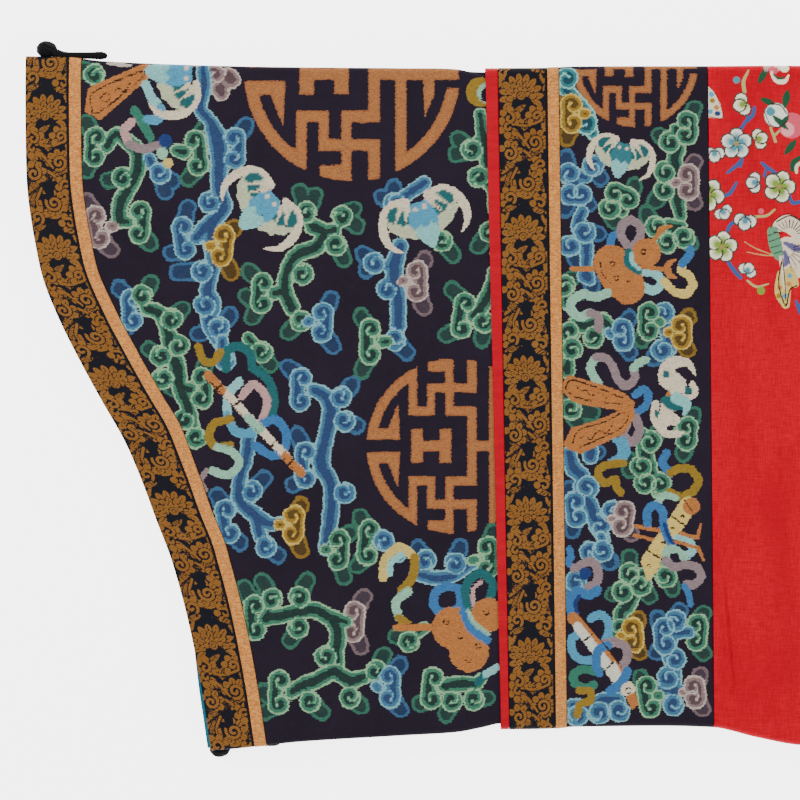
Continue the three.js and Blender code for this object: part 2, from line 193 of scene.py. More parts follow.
def ring(top_shares, fold_steps=10, bottom_steps=24):
    """Places once round the flattened sleeve, one for each column of a grid: the top wall at the given shares
    of its width, the shoulder fold, the bottom wall and the underarm fold, each fold by angle from straight
    up."""
    turns = np.pi * np.arange(fold_steps) / fold_steps
    bottom = np.arange(bottom_steps) / bottom_steps
    counts = (len(top_shares), fold_steps, bottom_steps, fold_steps)
    return {
        "wall": np.repeat(("top", "shoulder", "bottom", "underarm"), counts),
        "share": np.concatenate([top_shares, 0 * turns, bottom, 0 * turns]),
        "turn": np.concatenate([0 * top_shares, turns, 0 * bottom, np.pi - turns]),
    }


def even_shares(steps):
    """steps shares from 0, evenly, leaving out 1."""
    return np.arange(steps) / steps


def sleeve_grid(tube, around, line, out):
    """Points of the flattened sleeve or cuff, rows by columns by xyz, and v, the way along the cloth from
    fold to fold. x = line(y). The walls lie at middle + radius and middle - radius, with the creases on the
    top one, and the folds are half circles: y = fold + side*radius*sin(turn), z = middle + radius*cos(turn).
    x and y rest on each other, so both are worked out four times over."""
    radius = FOLD_RADIUS + out
    wall, share, turn = around["wall"], around["share"], around["turn"]
    side = np.where(wall == "shoulder", 1.0, -1.0)
    y = np.zeros((len(out), len(share)))
    x = line(y)
    for _ in range(4):
        under = through_rows(tube, "x", "under", x) + FOLD_RADIUS
        shoulder = through_rows(tube, "x", "shoulder", x) - FOLD_RADIUS
        on_fold = np.where(wall == "shoulder", shoulder, under) + radius * side * np.sin(turn)
        y = np.where(wall == "top", mix(under, shoulder, share),
                     np.where(wall == "bottom", mix(shoulder, under, share), on_fold))
        x = line(y)
    middle = mix(MIDDLE_BARE, MIDDLE_CUFFED, smooth(x, *RISE))
    calm = smooth(np.minimum(y - under, shoulder - y), 0, FLAT_BY_FOLD)
    creased = 1 - smooth(x, *tube["creased"])
    top = middle + radius + calm * creased * crease_height(x, y)
    z = np.where(wall == "top", top, np.where(wall == "bottom", middle - radius,
                                              middle + radius * np.cos(turn)))
    v = np.where(wall == "top", y, np.where(wall == "bottom", OFF_PATTERN,
                 np.where(wall == "shoulder", shoulder, under) + side * radius * turn))
    return np.stack([x, y, z], axis=-1), v


def quads_round(spans, rows, columns):
    """Quads of a grid of points with joined columns: corners (i,j) (i+1,j) (i+1,j+1) (i,j+1) for each span
    i."""
    i, j = np.meshgrid(np.arange(spans), np.arange(columns), indexing="ij")
    after, beside = (i + 1) % rows, (j + 1) % columns
    corners = [i * columns + j, after * columns + j, after * columns + beside, i * columns + beside]
    return np.stack([c.ravel() for c in corners], axis=1)


def closed_wall(points):
    """A closed form from rings of points, the last ring joined to the first."""
    rows, columns = points.shape[:2]
    return points, quads_round(rows, rows, columns)


def capped_tube(points, first_end, last_end):
    """A closed form from rings of points: quads from ring to ring, and a fan of triangles to a point at each
    end."""
    rows, columns = points.shape[:2]
    count, k = rows * columns, np.arange(columns)
    beside, last = (k + 1) % columns, count - columns
    quads = quads_round(rows - 1, rows, columns)[:, [0, 3, 2, 1]]
    first_fan = np.stack([beside, k, 0 * k + count], axis=1)
    last_fan = np.stack([last + k, last + beside, 0 * k + count + 1], axis=1)
    points = np.concatenate([points.reshape(-1, 3), [first_end, last_end]])
    return points, [*quads.tolist(), *first_fan.tolist(), *last_fan.tolist()]


def make_piece(name, points, faces, node, slot, look):
    """A mesh from points in millimetres, riding on the robe and standing for a CAD node."""
    mesh = bpy.data.meshes.new(name)
    mesh.from_pydata(points.reshape(-1, 3) * MM, [], faces)
    mesh.polygons.foreach_set("use_smooth", np.ones(len(faces), bool))
    mesh.materials.append(look)
    mesh.update()
    piece = bpy.data.objects.new(name, mesh)
    bpy.context.scene.collection.objects.link(piece)
    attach(piece, "root")
    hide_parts(node)
    return piece


def put_number(piece, name, values):
    """Keeps one number for each point of a piece under a name, for its material to read."""
    attribute = piece.data.attributes.new(name, "FLOAT", "POINT")
    attribute.data.foreach_set("value", np.asarray(values, np.float32).ravel())


def put_colour(piece, name, values):
    """The same for a colour."""
    attribute = piece.data.attributes.new(name, "FLOAT_COLOR", "POINT")
    rgba = np.ones((len(values), 4), np.float32)
    rgba[:, :3] = values
    attribute.data.foreach_set("color", rgba.ravel())


# Looks

NAVY = (0.0185, 0.0130, 0.0225)
GOLD_THREAD = (0.355, 0.165, 0.044)
BROCADE_BLACK = (0.0075, 0.0068, 0.0105)
TAN = (0.55, 0.225, 0.068)
RED = (0.62, 0.0, 0.0180)
TEAL = (0.0, 0.100, 0.135)
CORD_BLACK = (0.0035, 0.0035, 0.0045)
RUST = (0.27, 0.062, 0.018)
DARK_LINE = (0.030, 0.014, 0.010)
SILK_RED_DARK = (0.40, 0.0, 0.006)


def shade(colour, by):
    """A colour made lighter or darker."""
    return tuple(c * by for c in colour)


class Look:
    """A cloth's material: helpers that add a node or two each and return an output."""

    def __init__(self, name, roughness, specular):
        self.material = bpy.data.materials.new(name)
        self.material.use_nodes = True
        self.tree = self.material.node_tree
        self.shader = self.tree.nodes["Principled BSDF"]
        self.shader.inputs["Roughness"].default_value = roughness
        self.shader.inputs["Specular IOR Level"].default_value = specular
        self.place = self.add("ShaderNodeTexCoord").outputs["Object"]

    def add(self, kind, **settings):
        """A node with its settings."""
        node = self.tree.nodes.new(kind)
        for key, value in settings.items():
            setattr(node, key, value)
        return node

    def put(self, socket, value):
        """Links an output to a socket, or sets a plain number or colour on it."""
        if isinstance(value, bpy.types.NodeSocket):
            self.tree.links.new(value, socket)
        elif isinstance(value, tuple) and len(value) == 3 and socket.type == "RGBA":
            socket.default_value = (*value, 1)
        else:
            socket.default_value = value

    def math(self, operation, a, b=0.0):
        """One operation on one or two numbers."""
        node = self.add("ShaderNodeMath", operation=operation)
        self.put(node.inputs[0], a)
        self.put(node.inputs[1], b)
        return node.outputs[0]

    def plus(self, a, b):
        """a + b"""
        return self.math("ADD", a, b)

    def times(self, a, b):
        """a*b"""
        return self.math("MULTIPLY", a, b)

    def swing(self, noise, amount):
        """A noise's swing to both sides of nothing: (noise - 0.5)*amount."""
        return self.times(self.math("SUBTRACT", noise, 0.5), amount)

    def blend(self, share, a, b, how="MIX"):
        """Colour a where share is 0 and b where it is 1."""
        node = self.add("ShaderNodeMix", data_type="RGBA", blend_type=how)
        self.put(node.inputs[0], share)
        self.put(node.inputs[6], a)
        self.put(node.inputs[7], b)
        return node.outputs[2]

    def tint(self, under, colour, share, amount):
        """A colour over another, by amount where share is 1."""
        return self.blend(self.times(share, amount), under, colour)

    def number(self, name):
        """A number kept on the cloth."""
        return self.add("ShaderNodeAttribute", attribute_name=name).outputs["Fac"]

    def colour(self, name):
        """A colour kept on the cloth."""
        return self.add("ShaderNodeAttribute", attribute_name=name).outputs["Color"]

    def stretched(self, across, along, up=None):
        """The place on the cloth with x, y and z multiplied, for threads finer one way than the other."""
        node = self.add("ShaderNodeMapping", vector_type="POINT")
        self.put(node.inputs["Vector"], self.place)
        node.inputs["Scale"].default_value = (across, along, along if up is None else up)
        return node.outputs["Vector"]

    def noise(self, scale, detail=2.0, rough=0.5, where=None):
        """Smooth noise from about 0.25 to 0.75."""
        node = self.add("ShaderNodeTexNoise")
        self.put(node.inputs["Vector"], where or self.place)
        node.inputs["Scale"].default_value = scale
        node.inputs["Detail"].default_value = detail
        node.inputs["Roughness"].default_value = rough
        return node.outputs["Fac"]

    def threads(self, across, along, detail=2.0, rough=0.5, up=None):
        """The same noise drawn out into threads."""
        return self.noise(1.0, detail, rough, self.stretched(across, along, up))

    def twill(self, where, scale, wander):
        """Slanting threads side by side, as a wave from 0 to 1."""
        node = self.add("ShaderNodeTexWave", wave_type="BANDS", bands_direction="DIAGONAL")
        self.put(node.inputs["Vector"], where)
        node.inputs["Scale"].default_value = scale
        node.inputs["Distortion"].default_value = wander
        return node.outputs["Fac"]

    def step(self, value, at, soft=0.08):
        """0 below at and 1 above, over a short way."""
        node = self.add("ShaderNodeMapRange")
        self.put(node.inputs["Value"], value)
        node.inputs["From Min"].default_value = at - soft
        node.inputs["From Max"].default_value = at + soft
        return node.outputs["Result"]

    def finish(self, colour, height=None, depth=0.0, strength=0.0):
        """Links the colour, and a height as bump of a depth in metres, and gives the material."""
        self.put(self.shader.inputs["Base Color"], colour)
        if height is not None:
            bump = self.add("ShaderNodeBump")
            bump.inputs["Distance"].default_value = depth
            bump.inputs["Strength"].default_value = strength
            self.put(bump.inputs["Height"], height)
            self.put(self.shader.inputs["Normal"], bump.outputs["Normal"])
        return self.material


def patterned(look, ground, sway, thread, speckled):
    """The ground with its pattern laid over it, layer by layer: fret roundels, lobes behind clouds, clouds in
    three tones by depth, figures and dark lines. sway moves each motif's edge by part of a thread. Orange
    figures are speckled with rust by a share of speckled."""
    worn = look.noise(240.0, 4.0, 0.7)
    specks = look.step(look.noise(1500.0, 4.0, 0.75), 0.5, 0.1)
    between = look.step(thread, 0.5, 0.22)

    def deep(name, at=0.0):
        return look.step(look.plus(look.number(name), sway), at)

    def woven(colour):
        return look.tint(look.tint(colour, (0.10, 0.095, 0.085), worn, 0.3), (0.0, 0.0, 0.0), between, 0.42)

    fret = look.tint(TAN, RUST, specks, 0.75)
    rim = look.math("SUBTRACT", 1.0, look.step(look.number("fret"), 1.4, 1.0))
    colour = look.blend(deep("fret"), ground, woven(look.tint(fret, RUST, rim, 0.45)))
    behind = look.colour("behind_tone")
    behind = look.blend(deep("behind", 3.1), behind, look.blend(1.0, behind, (0.30, 0.27, 0.38), "MULTIPLY"))
    colour = look.blend(deep("behind"), colour, woven(behind))
    cloud = look.blend(deep("cloud", LINE), look.colour("light_tone"), look.colour("mid_tone"))
    cloud = look.blend(deep("cloud", BAND), cloud, look.colour("dark_tone"))
    colour = look.blend(deep("cloud"), colour, woven(cloud))
    figure = look.colour("figure_tone")
    parts = look.add("ShaderNodeSeparateColor")
    look.put(parts.inputs["Color"], figure)
    orange = look.math("SUBTRACT", parts.outputs["Red"], look.times(parts.outputs["Green"], 1.5))
    rusty = look.times(look.step(orange, 0.15, 0.05), look.times(specks, speckled))
    colour = look.blend(deep("figure"), colour, woven(look.blend(rusty, figure, RUST)))
    return look.blend(deep("line"), colour, DARK_LINE)


def kesi_look():
    """Silk tapestry: weft ribs across the sleeve, each motif's edge stepping from thread to thread."""
    look = Look("kesi_tapestry", 0.85, 0.05)
    thread = look.threads(500.0, 1900.0, 3.0, 0.6)
    fleck = look.threads(2400.0, 300.0)
    sway = look.plus(look.swing(look.threads(150.0, 1300.0, 1.0), 3.4), look.swing(look.noise(950.0), 2.4))
    ground = look.blend(look.noise(26.0, 4.0, 0.65), shade(NAVY, 0.7), shade(NAVY, 1.35))
    ground = look.tint(ground, (0.030, 0.024, 0.036), look.step(fleck, 0.62, 0.06), 0.3)
    ground = look.tint(ground, (0.006, 0.005, 0.009), thread, 0.5)
    colour = patterned(look, ground, sway, thread, 0.5)
    return look.finish(colour, look.plus(thread, look.times(fleck, 0.6)), 0.00012, 0.55)


def silk_look():
    """Red silk with a fine plain weave and sewn blossoms, darkened in long soft patches by painted shade
    standing in for its folds.
    """
    look = Look("red_silk", 0.6, 0.05)
    weft, warp = look.threads(130.0, 1500.0, 3.0, 0.7), look.threads(1500.0, 130.0, 3.0, 0.7)
    weave = look.plus(look.times(weft, 0.5), look.times(warp, 0.5))
    # painted shade: long soft patches where the red is darkened below, standing in for the shade of soft
    # folds
    painted_fold_shade = look.step(look.threads(44.0, 13.0, 3.0), 0.52, 0.1)
    ground = look.blend(look.step(weave, 0.5, 0.14), RED, SILK_RED_DARK)
    ground = look.tint(ground, (0.34, 0.0, 0.009), painted_fold_shade, 0.42)
    stitch = look.noise(2600.0)
    colour = patterned(look, ground, look.swing(look.noise(1900.0, 1.0), 1.1), look.times(stitch, 0.6), 0.0)
    raised = look.times(look.step(look.number("figure"), 0.4, 0.7), 1.6)
    return look.finish(colour, look.plus(look.plus(weave, raised), look.times(stitch, 0.5)), 0.00016, 0.5)


def plain_silk_look():
    """The same silk without anything sewn on it, for the cuff's narrow edge, with painted shade darkening its
    puckers.
    """
    look = Look("red_silk_edge", 0.6, 0.08)
    weft, puckers_and_shade = look.threads(500.0, 3400.0), look.threads(60.0, 260.0)
    colour = look.tint(RED, SILK_RED_DARK, weft, 0.8)
    # painted shade: the red darkened along the puckers, whose noise also raises the bump
    colour = look.tint(colour, (0.26, 0.0, 0.009), puckers_and_shade, 0.7)
    return look.finish(colour, look.plus(weft, look.times(puckers_and_shade, 3.0)), 0.0002, 0.6)


def brocade_look():
    """Black satin with a lotus scroll in ochre gold thread, floated over fine slanting twill."""
    look = Look("lotus_brocade", 0.7, 0.05)
    thread = look.threads(700.0, 3600.0)
    slant = look.step(look.twill(look.stretched(1.0, 2.2), 260.0, 1.4), 0.6, 0.22)
    sway = look.swing(look.threads(900.0, 2200.0, 1.0), 0.55)
    gold = look.blend(look.noise(60.0, 4.0, 0.6), GOLD_THREAD, (0.25, 0.095, 0.012))
    gold = look.tint(gold, (0.085, 0.034, 0.007), thread, 0.55)
    gold = look.tint(gold, (0.11, 0.042, 0.010), slant, 0.62)
    ground = look.blend(thread, BROCADE_BLACK, (0.010, 0.011, 0.016))
    mask = look.step(look.plus(look.number("gold"), sway), 0.0)
    return look.finish(look.blend(mask, ground, gold), look.plus(look.times(mask, 1.4), thread), 0.00014, 0.6)


def ribbon_look():
    """Tan ribbon, ribbed across, with flecks of rust and a darker thread along it."""
    look = Look("tan_ribbon", 0.8, 0.08)
    rib, fleck = look.threads(450.0, 1500.0, 3.0, 0.7), look.noise(1150.0, 3.0, 0.75)
    long_way = look.step(look.threads(1900.0, 90.0), 0.6, 0.08)
    colour = look.blend(look.step(rib, 0.52, 0.12), (0.74, 0.32, 0.080), (0.44, 0.165, 0.044))
    colour = look.tint(colour, RUST, look.step(fleck, 0.54, 0.06), 0.6)
    colour = look.tint(colour, (0.20, 0.10, 0.045), long_way, 0.35)
    return look.finish(colour, look.plus(rib, look.times(fleck, 0.5)), 0.00014, 0.6)


def lining_look():
    """Teal satin lining, with painted sheen: paler teal where it rumples up."""
    look = Look("teal_lining", 0.5, 0.2)
    warp, rumple_and_sheen = look.threads(3000.0, 300.0), look.noise(90.0, 3.0)
    colour = look.blend(warp, TEAL, (0.0, 0.10, 0.16))
    # painted sheen: paler teal on the rumples, whose noise also gives the bump
    colour = look.tint(colour, (0.01, 0.24, 0.30), rumple_and_sheen, 0.4)
    return look.finish(colour, look.plus(warp, look.times(rumple_and_sheen, 2.0)), 0.0002, 0.4)


def cord_look():
    """Black satin cord wound round itself: fine slanting turns, a little worn all over."""
    look = Look("knot_cord", 0.75, 0.05)
    turns, fuzz = look.twill(look.place, 300.0, 1.0), look.noise(2600.0, 3.0)
    colour = look.tint(CORD_BLACK, (0.012, 0.012, 0.014), turns, 0.5)
    colour = look.tint(colour, (0.020, 0.020, 0.022), fuzz, 0.3)
    return look.finish(colour, look.plus(turns, look.times(fuzz, 0.4)), 0.0003, 0.7)


def folded_look():
    """The folded robe's edges: kesi and lining by turns, with painted shade darkening each layer where it
    meets the next.
    """
    look = Look("folded_layers", 0.8, 0.08)
    layer, thread = look.number("layer"), look.threads(700.0, 700.0, up=3400.0)
    kesi = look.blend(look.noise(34.0, 4.0, 0.6), shade(NAVY, 0.75), shade(NAVY, 1.5))
    colour = kesi
    for k, cloth in enumerate((TEAL, kesi, (0.0, 0.12, 0.18), kesi), 1):
        colour = look.blend(look.step(layer, float(k), 0.02), colour, cloth)
    # painted shade at the top and bottom of each layer, where it tucks against the next
    tuck_shade = look.math("ABSOLUTE", look.math("SUBTRACT", look.math("FRACT", layer), 0.5))
    colour = look.tint(colour, (0.004, 0.004, 0.006), look.step(tuck_shade, 0.44, 0.05), 0.5)
    colour = look.tint(colour, (0.006, 0.008, 0.012), thread, 0.4)
    return look.finish(colour, thread, 0.00012, 0.6)


# Pieces

def sleeve_piece(name, node, slot, look, tube, start, end, inner, outer, shares, around, inner_rows=8):
    """A stretch of the sleeve or cuff between two lines, as a closed wall: the outer face by the given
    shares, then the inner face back by fewer rows, with x = start(y) + (end(y) - start(y))*share. Gives the
    piece, and for each point its place on the cloth: x, v and share."""
    share = np.concatenate([shares, np.linspace(1, 0, inner_rows)])[:, None]
    out = np.repeat((float(outer), float(inner)), (len(shares), inner_rows))[:, None]
    points, v = sleeve_grid(tube, around, lambda y: mix(start(y), end(y), share), out)
    v = np.where(out < outer, OFF_PATTERN, v)
    return make_piece(name, *closed_wall(points), node, slot, look), points[..., 0], v, share + 0 * v


def spread(*runs):
    """Shares along a piece from runs of (from, to, steps), the last one with its end."""
    parts = [np.linspace(a, b, steps, endpoint=False) for a, b, steps in runs]
    return np.concatenate(parts + [[runs[-1][1]]])


def silk_rows(flat):
    """Rows of the cuff's silk as (share of the way to the mouth fold, x beyond it, distance out): flat to the
    mouth fold, half a turn round it, then back inside. The wall's inner face follows in the other
    direction."""
    middle = CUFF_OUT - MOUTH_TURN
    turns = np.pi * np.arange(9) / 8

    def face(radius, out, shares):
        beyond = np.concatenate([0 * shares, radius * np.sin(turns), [MOUTH_TURN - MOUTH_TURN_IN]])
        away = np.concatenate([0 * shares + out, middle + radius * np.cos(turns), [middle - radius]])
        way = np.concatenate([shares, 0 * turns + 1, [1]])
        return np.stack([way, beyond, away])

    outside = face(MOUTH_TURN, CUFF_OUT, flat)
    inside = face(MOUTH_TURN - WALL, SEAM, np.linspace(0, 1, 8, endpoint=False))[:, ::-1]
    rows = np.concatenate([outside, inside], axis=1)
    return rows[0][:, None], rows[1][:, None], rows[2][:, None], outside.shape[1]


def folded_loop(count):
    """Points round the folded robe's outline, evenly spaced: inside the sleeve's own outline, with corners
    rounded as parabolas through a control point at each corner."""
    edge = inside_edge(FOLDED_INSET_EDGE)
    right = MOUTH_X - FOLDED_INSET_MOUTH

    def top(x):
        return through_rows(SLEEVE, "x", "shoulder", x) - FOLDED_INSET

    def bottom(x):
        return through_rows(SLEEVE, "x", "under", x) + FOLDED_INSET

    def corner(a, b, c):
        t = np.linspace(0, 1, 12)[:, None]
        return (1 - t) ** 2 * a + 2 * t * (1 - t) * b + t**2 * c

    def place(x, y):
        return np.array([float(x), float(y)])

    c = FOLDED_CORNER
    left_low = place(edge(-180.0), bottom(edge(-180.0)))
    left_high = place(edge(175.0), top(edge(175.0)))
    low = np.linspace(left_low[0] + c, right - c, 60)
    high = np.linspace(right - c, left_high[0] + c, 60)
    down = np.linspace(left_high[1] - c, left_low[1] + c, 60)
    start, end = place(edge(down[0]), down[0]), place(edge(down[-1]), down[-1])
    path = np.concatenate([
        np.stack([low, bottom(low)], axis=1),
        corner(place(right - c, bottom(right - c)), place(right, bottom(right)),
               place(right, bottom(right) + c)),
        corner(place(right, top(right) - c), place(right, top(right)), place(right - c, top(right - c))),
        np.stack([high, top(high)], axis=1),
        corner(place(left_high[0] + c, top(left_high[0] + c)), left_high, start),
        np.stack([edge(down), down], axis=1),
        corner(end, left_low, place(left_low[0] + c, bottom(left_low[0] + c))),
    ])
    far = np.concatenate([[0], np.cumsum(np.hypot(*np.diff(path, axis=0).T))])
    at = far[-1] * np.arange(count) / count
    return np.stack([np.interp(at, far, path[:, 0]), np.interp(at, far, path[:, 1])], axis=1)


def folded_robe(look):
    """The folded robe: its outline carried up a stack of rounded folds. Round each layer's side the outline
    moves by -1.15*|cos(turn)|^1.5 - setback - swing*sin(turns*angle + layer) + 0.25*sin(17*angle + 2*layer)*
    sin(5*angle + layer), and both flat faces close over."""
    count, centre = 360, np.array([55.0, 0.0])
    loop = folded_loop(count)
    ahead = np.roll(loop, -1, axis=0) - np.roll(loop, 1, axis=0)
    outward = np.stack([ahead[:, 1], -ahead[:, 0]], axis=1) / np.hypot(*ahead.T)[:, None]
    angle = 2 * np.pi * np.arange(count) / count
    rows, kinds, base = [], [], 0.0
    for k, layer in enumerate(LAYERS):
        swing = layer["swing"] * np.sin(layer["turns"] * angle + k)
        loose = 0.25 * np.sin(17 * angle + 2 * k) * np.sin(5 * angle + k)
        for rise in np.linspace(0, 1, 9)[k > 0:]:
            out = -1.15 * abs(np.cos(np.pi * rise)) ** 1.5 - layer["setback"] - swing + loose
            flat = loop + outward * out[:, None]
            rows.append(np.column_stack([flat, np.full(count, base + rise * layer["height"])]))
            kinds.append(np.full(count, k + rise))
        base += layer["height"]
    lids = [[np.column_stack([mix(row[:, :2], centre, share), np.full(count, z)])
             for share in (0.04, 0.3, 0.6, 0.9, 0.995)] for row, z in ((rows[0], 0.0), (rows[-1], base))]
    kinds = [kinds[0]] * len(lids[0]) + kinds + [kinds[-1]] * len(lids[1])
    points, faces = capped_tube(np.stack(lids[0][::-1] + rows + lids[1]), [*centre, 0.0], [*centre, base])
    piece = make_piece("folded_robe", points, faces, "folded_body", "kesi_ground", look)
    put_number(piece, "layer", np.concatenate([*kinds, [0.0, len(LAYERS)]]))
    return piece


# The woven and sewn pattern

STEP = 0.54                      # places on the pattern are counted in steps, in millimetres
PATTERN_CORNER = (-266.0, 216.0)  # where the count starts: x grows to the mouth, y grows to the underarm
FAR = -9.0                       # depth well outside every motif
NEVER = -1e3                     # depth to start from before any shape is laid
CURL = 11.3                      # radius of a cloud's curl, in steps
LOBE_BEHIND = 8.8                # radius of a lobe tucked behind a cloud
STEM_MORE = 1.8                  # a stem is this much wider to each side than its rows say
LINE = 1.9                       # width of a cloud's pale outline
BAND = 4.9                       # where its middle tone ends, counted from the edge
CW, CCW = 1, -1                  # which way a curl winds, seen from above


def dye(red, green, blue):
    """A colour given as 0 to 255 on a screen, as light: c/12.92 below 0.04045, ((c + 0.055)/1.055)^2.4 above,
    to the power 1.15 to answer the softer contrast of the picture."""
    c = np.array([red, green, blue]) / 255
    return np.where(c <= 0.04045, c / 12.92, ((c + 0.055) / 1.055) ** 2.4) ** 1.15


CLOUD_DYES = {  # of the outline, the middle tone, the heart and the lobes behind
    "blue": ((140, 194, 204), (76, 130, 162), (50, 80, 124), (64, 112, 150)),
    "green": ((158, 200, 158), (72, 136, 110), (28, 62, 58), (62, 122, 102)),
    "gold": ((222, 194, 104), (170, 134, 48), (104, 80, 28), (150, 118, 42)),
    "mauve": ((206, 190, 180), (154, 131, 130), (104, 82, 88), (130, 110, 116)),
    "teal": ((160, 214, 206), (60, 140, 146), (18, 84, 98), (44, 118, 124)),
}
CREAM, WHITE, WING = dye(238, 222, 196), dye(232, 232, 214), dye(206, 212, 178)
AQUA, SKY, SEA, DEEP = dye(150, 212, 210), dye(90, 168, 200), dye(28, 112, 116), dye(30, 66, 128)
OLIVE, STRAW, YELLOW = dye(164, 134, 44), dye(224, 200, 120), dye(232, 206, 120)
MAUVE, ROSE, ORANGE = dye(158, 138, 142), dye(206, 168, 164), dye(208, 140, 76)
GREEN, MINT, MID_BLUE = dye(60, 134, 112), dye(158, 208, 180), dye(64, 128, 182)


def segments(path):
    """Starts and ends of the short segments of a smooth line through (x, y, half width) rows: four to a span,
    by 0.5*(2b + (c - a)*t + (2a - 5b + 4c - d)*t^2 + (3b - a - 3c + d)*t^3) from the rows a, b, c, d about
    it."""
    rows = np.array(path, float)
    if len(rows) > 2:
        padded = np.concatenate([[2 * rows[0] - rows[1]], rows, [2 * rows[-1] - rows[-2]]])
        t = (np.arange(4) / 4)[:, None]
        fine = [0.5 * (2 * b + (c - a) * t + (2 * a - 5 * b + 4 * c - d) * t**2
                       + (3 * b - a - 3 * c + d) * t**3)
                for a, b, c, d in zip(padded, padded[1:], padded[2:], padded[3:])]
        rows = np.concatenate(fine + [rows[-1:]])
    return rows[:-1], rows[1:]


def stroke_depth(x, y, path):
    """How deep each place is inside a drawn stroke: the most, over its segments, of half width - distance."""
    starts, ends = segments(path)
    depth = np.full(x.shape, NEVER)
    for a, b in zip(starts, ends):
        dx, dy = b[0] - a[0], b[1] - a[1]
        t = np.clip(((x - a[0]) * dx + (y - a[1]) * dy) / max(dx * dx + dy * dy, 1e-9), 0, 1)
        away = np.hypot(x - a[0] - t * dx, y - a[1] - t * dy)
        depth = np.maximum(depth, mix(a[2], b[2], t) - away)
    return depth


def polygon_depth(x, y, corners):
    """Distance to a closed outline, positive inside it: inside where a ray to the right crosses it an odd
    number of times."""
    corners = np.array(corners, float)
    away, inside = np.full(x.shape, -NEVER), np.zeros(x.shape, bool)
    for a, b in zip(corners, np.roll(corners, -1, axis=0)):
        dx, dy = b - a
        t = np.clip(((x - a[0]) * dx + (y - a[1]) * dy) / (dx * dx + dy * dy), 0, 1)
        away = np.minimum(away, np.hypot(x - a[0] - t * dx, y - a[1] - t * dy))
        if dy:
            inside ^= ((a[1] > y) != (b[1] > y)) & (x < a[0] + (y - a[1]) * dx / dy)
    return np.where(inside, away, -away)


def disc_depth(x, y, cx, cy, radius):
    """radius - distance from the centre."""
    return radius - np.hypot(x - cx, y - cy)


def curl_depth(x, y, body, cx, cy, neck, hand):
    """The body's depth with a curl wound into it. The curl's pale line starts on the edge opposite the neck
    and turns by 420 degrees: R = CURL*(1 - 0.88*s*s*(3 - 2*s)), s from 0 at a third of the way to 1 at the
    end. Just inside each turn the depth starts again from 0, as inside the body's own edge, and the line ends
    in a dot."""
    far = np.hypot(x - cx, y - cy)
    turned = np.mod(hand * (np.degrees(np.arctan2(y - cy, x - cx)) - np.degrees(neck) - 180), 360)
    depth = body
    for turn in (0, 1):
        share = (turned + 360 * turn) / 420
        line = CURL * (1 - 0.88 * smooth(share, 0.33, 1)) + LINE / 2
        depth = np.where((share <= 1) & (far < line), np.minimum(depth, line - far), depth)
    end = neck + np.pi + hand * np.radians(60)
    dot = np.hypot(x - cx - 0.15 * CURL * np.cos(end), y - cy - 0.15 * CURL * np.sin(end))
    return np.where(body > 0, np.where(dot < LINE, np.minimum(depth, 0.9), np.maximum(depth, 0.05)), body)


